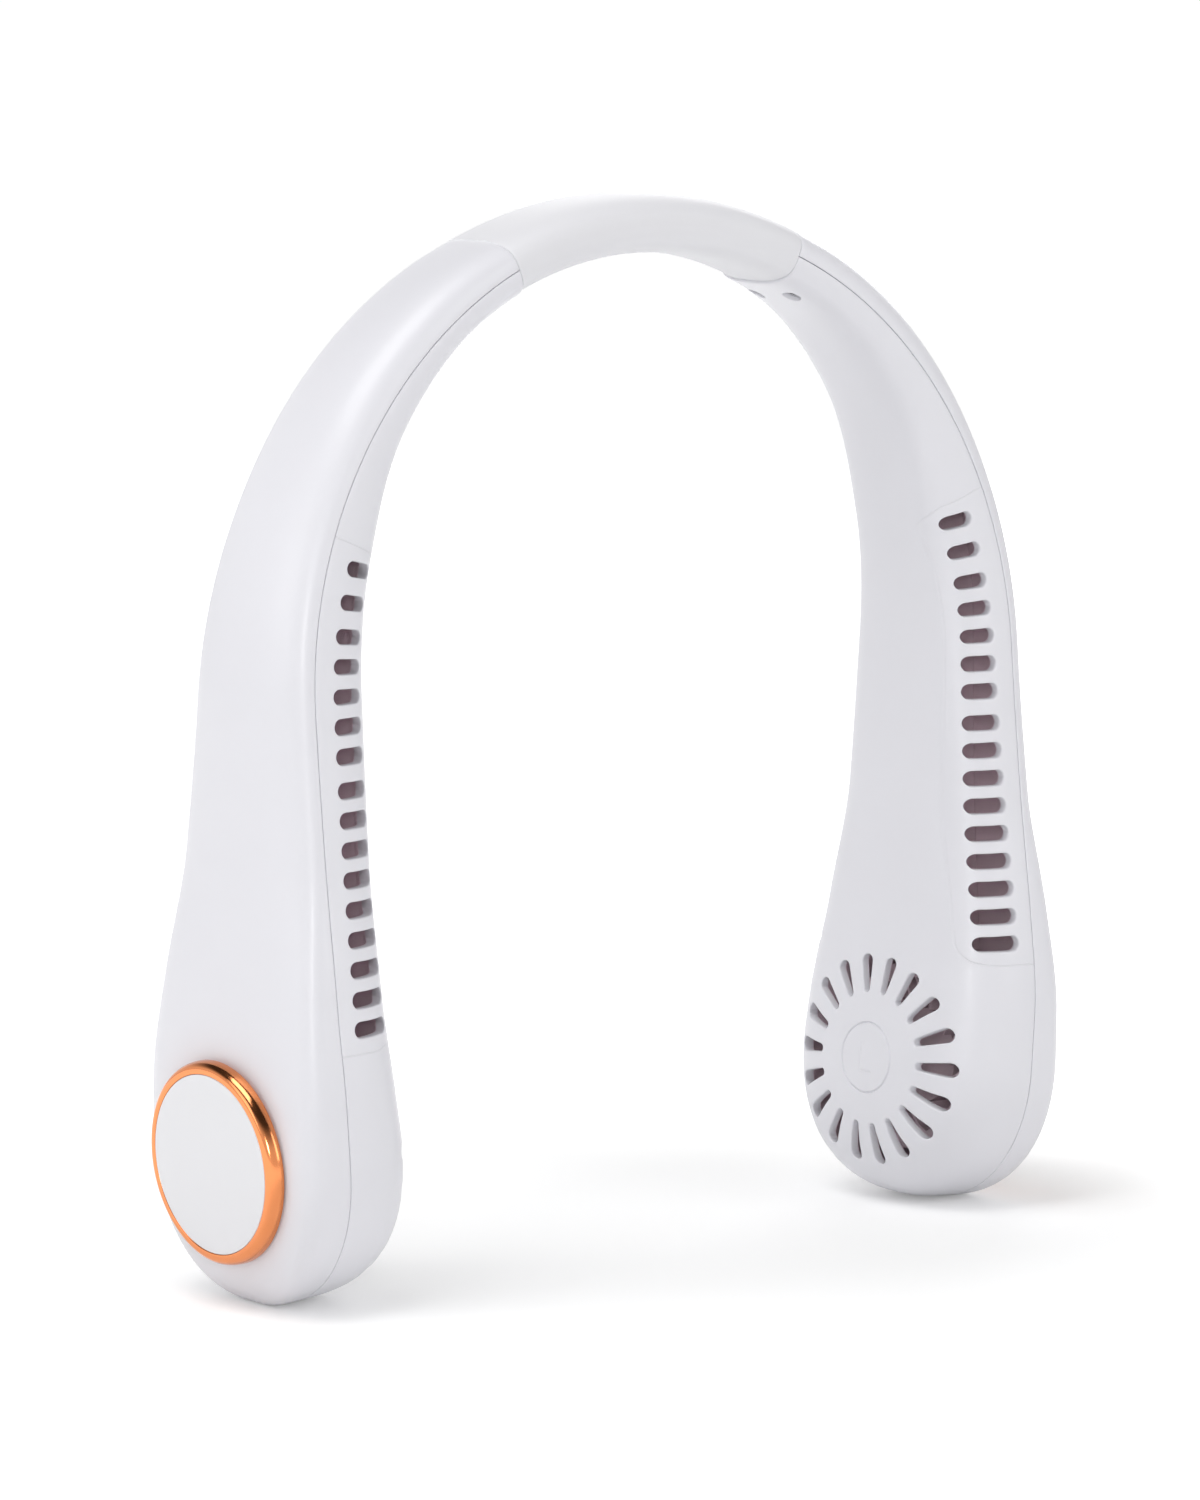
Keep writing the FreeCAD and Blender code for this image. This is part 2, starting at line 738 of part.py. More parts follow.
def build_shaft():
    """Shaft from just above the motor seat to the end of the can's hub."""
    shaft = rod(shaft_radius, -motor_seat + shaft_end_gap, can_span()[2] + can_hub_height)
    return placed(shaft, paddle_tip_length)


def build_impeller():
    """Blower wheel: hub over the can, back plate, swept blades and a ring that ties their ends."""
    hub_inner = can_radii()[1] + bond_gap
    hub_outer = hub_inner + impeller_hub_wall
    open_end, _, top = can_span()
    plate_start = open_end + impeller_edge_gap
    plate_end = plate_start + impeller_plate
    crown_start = top + bond_gap
    crown_end = crown_start + impeller_hub_wall
    hub = tube(hub_inner, hub_outer, plate_start, crown_end)
    crown = tube(can_hub_radius + bond_gap, hub_outer, crown_start, crown_end)
    plate = tube(hub_inner, impeller_radius, plate_start, plate_end)
    blade_end = plate_end + impeller_blade_length
    ring_start = blade_end - impeller_shroud_thickness
    ring = tube(impeller_radius - impeller_shroud_width, impeller_radius, ring_start, blade_end)
    sweep = math.radians(impeller_blade_sweep_angle)
    half = impeller_blade_thickness / 2
    tip_radius = impeller_radius - half
    middle_radius = (impeller_blade_root + tip_radius) / 2
    edges = []
    for side in (-half, half):
        arc = [
            Vector(plate_start, radius * math.sin(turn) + side, radius * math.cos(turn))
            for radius, turn in ((impeller_blade_root, 0), (middle_radius, sweep / 3), (tip_radius, sweep))
        ]
        edges.append(arc)
    front, back = edges
    outline = Part.Wire([
        Part.Arc(*front).toShape(),
        Part.makeLine(front[2], back[2]),
        Part.Arc(*reversed(back)).toShape(),
        Part.makeLine(back[0], front[0]),
    ])
    blade = Part.Face(outline).extrude(Vector(blade_end - plate_start, 0, 0))
    blade = blade.common(rod(impeller_radius, plate_start, blade_end))
    pitch = 360 / impeller_blade_count
    blades = [turned(blade, pitch * n) for n in range(impeller_blade_count)]
    wheel = hub.multiFuse([crown, plate, ring] + blades).removeSplitter()
    return placed(wheel, paddle_tip_length)


def build_air_guide():
    """Wall along the duct, with a quarter scroll that turns round the impeller, fitted to the hollow."""
    start = paddle_tip_length
    end = outlet_distances()[-1] + guide_top_margin
    hollow = arm_loft(shell_wall + seat_gap, start, end)
    wall = Part.makeBox(far, guide_thickness, far, Vector(-far, guide_side, 0))
    below = placed(rod(guide_scroll_radius, -far, far), paddle_tip_length)
    outer_radius = guide_scroll_radius + guide_thickness
    scroll = tube(guide_scroll_radius, outer_radius, -paddle_outer_depth, paddle_inner_depth)
    quarter = Part.makeBox(
        paddle_outer_depth + paddle_inner_depth, outer_radius, outer_radius,
        Vector(-paddle_outer_depth, guide_side, 0))
    scroll = placed(scroll.common(quarter), paddle_tip_length)
    guide = hollow.common(wall.cut(below).fuse(scroll)).cut(motor_lead_rod(lead_radius + seat_gap))
    solids = sorted(guide.Solids, key=lambda s: s.Volume)
    return solids[-1].removeSplitter()


def build_cell():
    """Cylindrical cell with rounded ends."""
    cell = cell_blank(cell_radius, 0)
    rims = [e for e in cell.Edges if len(e.Vertexes) == 1]
    return cell.makeFillet(cell_edge_round, rims)


def motor_lead_rod(radius):
    """Straight rod from the motor base's edge to the cell's lower end."""
    start = motor_base_radius + lead_end_gap
    end = cell_base_height - lead_end_gap
    low = frame_at(paddle_tip_length).multVec(Vector(-motor_lead_low_depth, motor_lead_side, start))
    high = Vector(-parting_radius - motor_lead_top_depth, motor_lead_side, end)
    return Part.makeCylinder(radius, (high - low).Length, low, high - low)


def lead_circle(radius):
    """Section of the lead at the band's middle, as a wire."""
    centre = Vector(0, lead_side, parting_radius + lead_depth)
    return Part.Wire(Part.makeCircle(radius, centre, AXIS_X))


def lead_arc(radius, start_angle, sweep):
    """Lead bent about the band's centre: angles from the top towards the left."""
    disc = Part.Face(lead_circle(radius))
    disc.rotate(Vector(0, 0, 0), AXIS_Y, -start_angle)
    lead = disc.revolve(Vector(0, 0, 0), AXIS_Y, -sweep)
    lead.translate(Vector(0, 0, arc_centre_height))
    return lead


def build_arm_lead():
    """Lead from the band's end round the shoulder and down to the cell's upper end."""
    bend = lead_arc(lead_radius, band_half_angle, 90 - band_half_angle)
    end = cell_base_height + cell_length + lead_end_gap
    base = Vector(-parting_radius - lead_depth, lead_side, end)
    drop = Part.makeCylinder(lead_radius, arc_centre_height - end, base, AXIS_Z)
    return bend.fuse(drop).removeSplitter()


def build_anchor():
    """Plug in the arm's end: carries the band, bored for the screws and the lead."""
    block = arm_loft(shell_wall + seat_gap, joint_distance - anchor_length, joint_distance)
    cutters = anchor_bosses(anchor_boss_radius + seat_gap, anchor_boss_depth + seat_gap)
    bottom = anchor_screw_depth() - anchor_screw_length - seat_gap
    for y in anchor_screw_places():
        hole = rod(screw_shank_radius + bond_gap, bottom, paddle_inner_depth, y)
        cutters.append(placed(hole, joint_distance - anchor_screw_distance))
    bore = lead_arc(lead_radius + seat_gap, 0, 90)
    return block.cut(cutters + [bore]).removeSplitter()


def build_anchor_screws():
    """The two recessed screws on the inner face beside the band."""
    screws = []
    for y in anchor_screw_places():
        screw = cross_head_screw(anchor_screw_length)
        screw.rotate(Vector(0, 0, 0), AXIS_Z, 180)
        screw.translate(Vector(anchor_screw_depth(), y, 0))
        screws.append(placed(screw, joint_distance - anchor_screw_distance))
    return Part.makeCompound(screws)


def strip_section(grown):
    """Rectangle of the spring strip at the band's middle, larger by a gap all round."""
    low = parting_radius - strip_thickness / 2 - grown
    high = parting_radius + strip_thickness / 2 + grown
    start = strip_side - strip_width / 2 - grown
    end = strip_side + strip_width / 2 + grown
    first, last = Vector(0, start, low), Vector(0, end, high)
    return Part.makePolygon([first, Vector(0, end, low), last, Vector(0, start, high), first])


def revolved_band(wire):
    """A section at the band's middle carried round from joint to joint."""
    face = Part.Face(wire)
    face.rotate(Vector(0, 0, 0), AXIS_Y, -band_half_angle)
    solid = face.revolve(Vector(0, 0, 0), AXIS_Y, 2 * band_half_angle)
    solid.translate(Vector(0, 0, arc_centre_height))
    return solid


def band_section():
    """Section of the soft band, in the plane of its middle, centred on the parting circle."""
    frame = Placement(Vector(0, 0, parting_radius), Rotation(AXIS_Y, 90))
    sizes = (band_width / 2, band_outer_depth, band_inner_depth)
    return section_wire(sizes, [(section_power, section_power)] * 2, frame)


def build_band():
    """Soft band with its pockets for the spring strip and the lead."""
    pockets = [strip_section(bond_gap), lead_circle(lead_radius + bond_gap)]
    return revolved_band(band_section()).cut([revolved_band(pocket) for pocket in pockets])


def build_board():
    """Circuit board flat against its posts."""
    corner = Vector(control_depth - board_width / 2, board_side(), -board_length / 2)
    return placed(Part.makeBox(board_width, board_thickness, board_length, corner), control_distance)


def build_socket():
    """Upright charging socket: a stadium shell with a tongue inside its mouth."""
    side = board_side() + board_thickness
    depth = control_half_width(socket_place) - side
    shell = stadium(socket_width, socket_height, depth)
    mouth = stadium(socket_width - 2 * socket_wall, socket_height - 2 * socket_wall, depth)
    mouth.translate(Vector(0, depth - socket_mouth_depth, 0))
    corner = Vector(-socket_tongue_thickness / 2, 0, -socket_tongue_width / 2)
    tongue = Part.makeBox(socket_tongue_thickness, depth - socket_wall, socket_tongue_width, corner)
    return at_control(shell.cut(mouth).fuse(tongue).removeSplitter(), socket_place, side)


def button_flange_top():
    """Side position of the button flange's upper face, clear of the wall above it."""
    end = button_length / 2 + button_flange
    return control_half_width(button_place + end) - shell_wall - button_flange_gap - button_clearance


def build_button():
    """Push button: a cap through the wall with a flange behind it."""
    top = control_half_width(button_place) + button_proud
    under = button_flange_top() - button_flange_thickness
    cap = stadium(button_length, button_width, top - under)
    rim = [e for e in cap.Edges if e.BoundBox.YMin > top - under - button_edge_round]
    cap = cap.makeFillet(button_edge_round, rim)
    grown = 2 * button_flange
    flange = stadium(button_length + grown, button_width + grown, button_flange_thickness)
    return at_control(cap.fuse(flange).removeSplitter(), button_place, under)


def build_switch():
    """Tact switch under the button."""
    side = board_side() + board_thickness
    knob_end = button_flange_top() - button_flange_thickness - button_switch_gap
    body_height = knob_end - side - switch_knob_height
    corner = Vector(-switch_width / 2, 0, -switch_length / 2)
    body = Part.makeBox(switch_width, body_height, switch_length, corner)
    knob_height = body_height + switch_knob_height
    knob = Part.makeCylinder(switch_knob_radius, knob_height, Vector(0, 0, 0), AXIS_Y)
    return at_control(body.fuse(knob).removeSplitter(), button_place, side)


def build_lights():
    """Short clear light guides in the wall over the board."""
    guides = []
    side = board_side() + board_thickness + light_root_gap
    for number in range(light_count):
        place = light_first_place + number * light_pitch
        length = control_half_width(place) - side
        guide = Part.makeCylinder(light_radius, length, Vector(0, 0, 0), AXIS_Y)
        guides.append(at_control(guide, place, side))
    return Part.makeCompound(guides)


def build_arm(hollow):
    """The pieces that both arms have alike, as the left arm's shapes by name."""
    return {
        "outer_shell": build_outer_shell(hollow),
        "trim_ring": build_trim_ring(),
        "disc_cover": build_disc_cover(),
        "motor_base": build_motor_base(),
        "motor_screws": build_motor_screws(),
        "bearing_sleeve": build_sleeve(),
        "stator_core": build_stator(),
        "windings": build_windings(),
        "magnet": build_magnet(),
        "rotor_can": build_rotor_can(),
        "shaft": build_shaft(),
        "impeller": build_impeller(),
        "air_guide": build_air_guide(),
        "cell": build_cell(),
        "motor_lead": motor_lead_rod(lead_radius),
        "arm_lead": build_arm_lead(),
        "band_anchor": build_anchor(),
        "anchor_screws": build_anchor_screws(),
    }


def build_all():
    """Every node of the fan by name."""
    body = arm_loft(0, 0, joint_distance)
    cavity = arm_loft(shell_wall, 0, joint_distance + cut_overrun)
    hollow = body.cut(cavity)
    pieces = build_arm(hollow)
    plain_shell = build_inner_shell(hollow)
    nodes = {
        "neck_band": build_band(),
        "band_spring_strip": revolved_band(strip_section(0)),
        "band_lead": revolved_band(lead_circle(lead_radius)),
        "left_inner_shell": plain_shell.multiFuse(board_posts()).cut(control_openings()).removeSplitter(),
        "right_inner_shell": mirrored(plain_shell),
        "circuit_board": build_board(),
        "charging_socket": build_socket(),
        "power_button": build_button(),
        "button_switch": build_switch(),
        "status_lights": build_lights(),
    }
    for name, shape in pieces.items():
        nodes["left_" + name] = shape
        nodes["right_" + name] = mirrored(shape)
    return nodes


def print_places(drop):
    """Joint axes and mount places, at the height that the fan stands at."""
    down = Vector(0, 0, -drop)
    paddle = frame_at(paddle_tip_length)
    pivot_angle = math.radians(band_half_angle / 2)
    pivot = Vector(-math.sin(pivot_angle), 0, math.cos(pivot_angle)) * parting_radius
    controls = frame_at(control_distance)
    print("fan axis", paddle.Base + down, paddle.Rotation.multVec(AXIS_X))
    print("disc face", paddle.multVec(Vector(-cover_face, 0, 0)) + down)
    print("flex pivot", pivot + Vector(0, 0, arc_centre_height) + down)
    for name, place in (("button", button_place), ("socket", socket_place)):
        edge = Vector(control_depth, control_half_width(place), place)
        print(name, controls.multVec(edge) + down)
    print("band inside", Vector(0, 0, arc_centre_height + parting_radius - band_inner_depth) + down)


os.makedirs("parts", exist_ok=True)
all_nodes = build_all()
ground = min(shape.BoundBox.ZMin for shape in all_nodes.values())
print_places(ground)
for node, shape in sorted(all_nodes.items()):
    shape.translate(Vector(0, 0, -ground))
    shape.exportStep("parts/" + node + ".step")
    print(node, len(shape.Solids), round(shape.Volume, 1), shape.isValid())
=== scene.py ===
"""Looks of a neck fan: moulded casings, soft band, copper trim and a finish for every piece."""

import logging
import math
from dataclasses import dataclass
from enum import Enum

import bpy
import numpy as np
from mathutils import Matrix, Vector


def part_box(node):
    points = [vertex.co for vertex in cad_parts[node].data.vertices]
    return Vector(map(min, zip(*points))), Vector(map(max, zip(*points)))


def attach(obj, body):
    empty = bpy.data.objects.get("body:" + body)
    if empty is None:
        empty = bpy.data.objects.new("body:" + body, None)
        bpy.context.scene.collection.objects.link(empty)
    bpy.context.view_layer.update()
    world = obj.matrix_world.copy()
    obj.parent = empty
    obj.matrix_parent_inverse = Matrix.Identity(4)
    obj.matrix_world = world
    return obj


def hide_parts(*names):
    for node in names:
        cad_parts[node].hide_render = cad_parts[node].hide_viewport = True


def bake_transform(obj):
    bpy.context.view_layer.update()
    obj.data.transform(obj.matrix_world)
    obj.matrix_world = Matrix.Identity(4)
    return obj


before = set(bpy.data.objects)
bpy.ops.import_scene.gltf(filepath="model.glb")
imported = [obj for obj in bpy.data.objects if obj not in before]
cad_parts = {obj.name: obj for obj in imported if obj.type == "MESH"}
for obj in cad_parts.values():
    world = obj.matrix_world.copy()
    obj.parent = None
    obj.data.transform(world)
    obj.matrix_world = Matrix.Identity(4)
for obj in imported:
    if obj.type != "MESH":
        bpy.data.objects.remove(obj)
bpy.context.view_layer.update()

LOG = logging.getLogger("neck_fan")
MM = 0.001
WITNESS = "witness"
HOLLOW = "hollow"
FAR_FROM_MARK = 50.0
SHARP_ANGLE = 38.0
TINY = 1e-9
Array = np.ndarray
Triple = tuple[float, float, float]
Pair = tuple[float, float]
Block = tuple[int, int, int, int]
NodeTree = bpy.types.NodeTree
Socket = bpy.types.NodeSocket


class Half(Enum):
    """The two halves of an arm's casing, as the side of the parting line that they lie on."""

    OUTER = -1
    INNER = 1


class Arm(Enum):
    """The two arms; the right one is the mirror image of the left one."""

    LEFT = 1
    RIGHT = -1

    @property
    def word(self) -> str:
        """First word of the arm's node names."""
        return self.name.lower()

    @property
    def body(self) -> str:
        """Body that the arm's fixed pieces ride on."""
        return f"{self.word}_arm"


class Edge(Enum):
    """The two narrow edges of an arm: the outlets face the front, the controls the back."""

    FRONT = -1
    BACK = 1


def feed(tree: NodeTree, node: bpy.types.Node, inputs: dict[str | int, object]) -> None:
    """Give a node's inputs their values, or link them to other nodes' sockets.

    Args:
        tree: node tree that holds the node.
        node: the node.
        inputs: a value or a socket for each input, by name or number.
    """
    for key, value in inputs.items():
        if isinstance(value, Socket):
            tree.links.new(value, node.inputs[key])
        else:
            node.inputs[key].default_value = value


def add_node(tree: NodeTree, kind: str, inputs: dict[str | int, object], **options: str) -> bpy.types.Node:
    """Add a shader node.

    Args:
        tree: node tree that takes the node.
        kind: the node's type, without the prefix that all of them share.
        inputs: a value or a socket for each input, by name or number.
        options: the node's own options.

    Returns:
        The node.
    """
    node = tree.nodes.new(f"ShaderNode{kind}")
    for word, option in options.items():
        setattr(node, word, option)
    feed(tree, node, inputs)
    return node


def mixed_colour(tree: NodeTree, share: Socket, first: Triple | Socket, second: Triple) -> Socket:
    """Mix two colours.

    Args:
        tree: node tree that takes the node.
        share: share of the second colour.
        first: first colour, or the socket that gives it.
        second: second colour.

    Returns:
        The mixed colour's socket.
    """
    start = first if isinstance(first, Socket) else (*first, 1.0)
    factor, first_input, second_input, result = 0, 6, 7, 2
    inputs = {factor: share, first_input: start, second_input: (*second, 1.0)}
    return add_node(tree, "Mix", inputs, data_type="RGBA").outputs[result]


@dataclass(frozen=True)
class Finish:
    """A surface finish built from noise on the piece's own coordinates.

    The colour drifts between two close tones, the roughness drifts about its mean, and a fine
    noise gives the moulded or rubbed grain as bump.
    """

    name: str
    slot: str
    colour: Triple
    second_colour: Triple
    roughness: float
    roughness_drift: float = 0.04
    metallic: float = 0.0
    grain: float = 0.25
    grain_height: float = 0.004
    drift_size: float = 30.0
    noise_detail: float = 2.0
    coat: float = 0.0
    sheen: float = 0.0
    transmission: float = 0.0
    stretch: Triple = (1.0, 1.0, 1.0)
    witness_depth: float = 0.0
    witness_reach: Pair = (0.04, 0.24)
    # Painted shade: a warm tint on the hollow's surface that stands in for the tone of the shaded interior.
    hollow_shade_tint: Triple | None = None
    hollow_edge: float = 0.85

    def material(self) -> bpy.types.Material:
        """Make the node material.

        Returns:
            The Blender material, with nothing but procedural nodes.
        """
        made = bpy.data.materials.new(self.name)
        made.use_nodes = True
        tree = made.node_tree
        shader = tree.nodes["Principled BSDF"]
        shader.inputs["Metallic"].default_value = self.metallic
        shader.inputs["Coat Weight"].default_value = self.coat
        shader.inputs["Sheen Weight"].default_value = self.sheen
        shader.inputs["Transmission Weight"].default_value = self.transmission
        place = add_node(tree, "TexCoord", {}).outputs["Object"]
        stretched = add_node(tree, "Mapping", {"Vector": place, "Scale": self.stretch}).outputs["Vector"]
        drift = self.noise(tree, stretched, self.drift_size)
        colour = mixed_colour(tree, drift, self.colour, self.second_colour)
        # Painted shade: the hollow's surface takes a warm tint for the tone of the shaded interior.
        if self.hollow_shade_tint is not None:
            colour = self.paint_hollow_shade(tree, colour)
        low, high = self.roughness - self.roughness_drift, self.roughness + self.roughness_drift
        gloss = add_node(tree, "MapRange", {"Value": drift, "To Min": low, "To Max": high})
        grain = self.noise(tree, stretched, self.grain)
        height = {"Height": grain, "Strength": 1.0, "Distance": self.grain_height * MM}
        normal = add_node(tree, "Bump", height).outputs["Normal"]
        if self.witness_depth > 0:
            normal = self.witness_bump(tree, normal)
        feed(tree, shader, {"Base Color": colour, "Roughness": gloss.outputs["Result"], "Normal": normal})
        return made

    def noise(self, tree: NodeTree, place: Socket, size: float) -> Socket:
        """Noise whose lumps are about a given size.

        Args:
            tree: node tree that takes the node.
            place: coordinates in metres.
            size: size of the lumps in millimetres.

        Returns:
            The noise's factor socket.
        """
        inputs = {"Vector": place, "Scale": 1.0 / (size * MM), "Detail": self.noise_detail}
        return add_node(tree, "TexNoise", inputs).outputs["Fac"]

    def paint_hollow_shade(self, tree: NodeTree, outside: Socket) -> Socket:
        """Painted shade tint where the piece's hollow attribute is one, standing in for the warm tone of the
        shaded interior.

        Args:
            tree: node tree that takes the nodes.
            outside: colour of the outside.

        Returns:
            The colour socket of the two.
        """
        inside = add_node(tree, "Attribute", {}, attribute_name=HOLLOW).outputs["Fac"]
        edge = add_node(tree, "MapRange", {"Value": inside, "From Min": self.hollow_edge})
        return mixed_colour(tree, edge.outputs["Result"], outside, self.hollow_shade_tint)

    def witness_bump(self, tree: NodeTree, under: Socket) -> Socket:
        """Fine sunk line where the piece's witness attribute passes through zero.

        Args:
            tree: node tree that takes the nodes.
            under: normal of the bump that lies under the line.

        Returns:
            The normal socket of the joined bump.
        """
        mark = add_node(tree, "Attribute", {}, attribute_name=WITNESS).outputs["Fac"]
        beside = add_node(tree, "Math", {0: mark}, operation="ABSOLUTE").outputs[0]
        near, far = self.witness_reach
        reach = {"Value": beside, "From Min": near, "From Max": far}
        line = add_node(tree, "MapRange", reach, interpolation_type="SMOOTHSTEP").outputs["Result"]
        height = {"Height": line, "Distance": self.witness_depth * MM, "Normal": under}
        return add_node(tree, "Bump", height).outputs["Normal"]


class Finishes:
    """The finishes of the fan, each made into a material once."""

    # The shell's hollow colour is a painted shade tint: the warm tone of the shaded inside of the casing.
    SHELL = Finish("satin_white_moulding", "white_shell", (0.80, 0.797, 0.838), (0.785, 0.782, 0.823), 0.36,
                   grain=0.22, grain_height=0.003, coat=0.05, witness_depth=0.08,
                   hollow_shade_tint=(0.92, 0.77, 0.83))
    DISC = Finish("gloss_white_moulding", "white_gloss", (0.80, 0.80, 0.825), (0.79, 0.79, 0.815), 0.16,
                  roughness_drift=0.03, grain=0.6, grain_height=0.001, coat=0.3)
    BAND = Finish("soft_white_silicone", "soft_band", (0.805, 0.803, 0.832), (0.785, 0.783, 0.812), 0.5,
                  grain=0.16, grain_height=0.006, sheen=0.05)
    COPPER = Finish("polished_copper_plating", "copper_trim", (0.79, 0.285, 0.115), (0.72, 0.25, 0.095), 0.14,
                    roughness_drift=0.03, metallic=1.0, grain=0.5, grain_height=0.0012, drift_size=9.0)
    STEEL = Finish("bright_steel", "bright_steel", (0.62, 0.62, 0.64), (0.54, 0.54, 0.56), 0.28,
                   metallic=1.0, grain=0.15, grain_height=0.003, drift_size=3.0)
    SPRING = Finish("tempered_strip", "spring_steel", (0.42, 0.43, 0.45), (0.36, 0.37, 0.40), 0.35,
                    metallic=1.0, grain=0.2, drift_size=4.0, stretch=(1.0, 6.0, 1.0))
    BRONZE = Finish("sintered_bronze", "bronze", (0.48, 0.30, 0.14), (0.40, 0.24, 0.11), 0.45,
                    metallic=1.0, grain=0.1, grain_height=0.01, drift_size=1.0)
    IRON = Finish("laminated_iron", "motor_iron", (0.22, 0.22, 0.24), (0.16, 0.16, 0.18), 0.5,
                  metallic=0.8, grain=0.35, grain_height=0.02, drift_size=2.0, stretch=(8.0, 1.0, 1.0))
    WIRE = Finish("enamelled_wire", "copper_wire", (0.55, 0.20, 0.07), (0.42, 0.14, 0.05), 0.3,
                  metallic=0.9, grain=0.4, grain_height=0.05, drift_size=0.8, stretch=(0.3, 1.0, 6.0))
    MAGNET = Finish("pressed_ferrite", "magnet_dark", (0.045, 0.045, 0.05), (0.06, 0.06, 0.065), 0.6,
                    grain=0.2, grain_height=0.008, drift_size=1.5)
    # Painted shade: the impeller and air guide take the warm tone of the shaded interior seen through the
    # slots, not a colour of their own.
    BLOWER = Finish("blower_moulding_shade_tint", "blower_grey", (0.92, 0.77, 0.83), (0.88, 0.73, 0.79), 0.5,
                    grain=0.3, grain_height=0.006)
    DARK = Finish("dark_moulding", "dark_plastic", (0.035, 0.035, 0.038), (0.05, 0.05, 0.053), 0.5,
                  grain=0.3, grain_height=0.006, drift_size=6.0)
    WRAP = Finish("cell_wrap", "cell_wrap", (0.03, 0.15, 0.22), (0.04, 0.18, 0.26), 0.3,
                  grain=1.2, grain_height=0.01, drift_size=8.0)
    LEAD = Finish("lead_jacket", "lead_jacket", (0.02, 0.02, 0.022), (0.03, 0.03, 0.032), 0.45,
                  grain=0.2, grain_height=0.004, drift_size=3.0)
    BOARD = Finish("solder_mask", "board_green", (0.006, 0.075, 0.03), (0.01, 0.10, 0.045), 0.35,
                   grain=0.5, grain_height=0.012, drift_size=1.6)
    CLEAR = Finish("clear_light_guide", "clear_guide", (0.80, 0.83, 0.86), (0.74, 0.78, 0.82), 0.2,
                   grain=0.3, grain_height=0.002, drift_size=1.0, transmission=0.35)

    made: dict[str, bpy.types.Material] = {}

    @classmethod
    def dress(cls, piece: bpy.types.Object, finish: Finish) -> None:
        """Give a piece its finish, as its only material.

        Args:
            piece: new piece or CAD node.
            finish: finish to use.
        """
        if finish.name not in cls.made:
            cls.made[finish.name] = finish.material()
        if not piece.data.materials:
            piece.data.materials.append(None)
        for slot in piece.material_slots:
            slot.material = cls.made[finish.name]


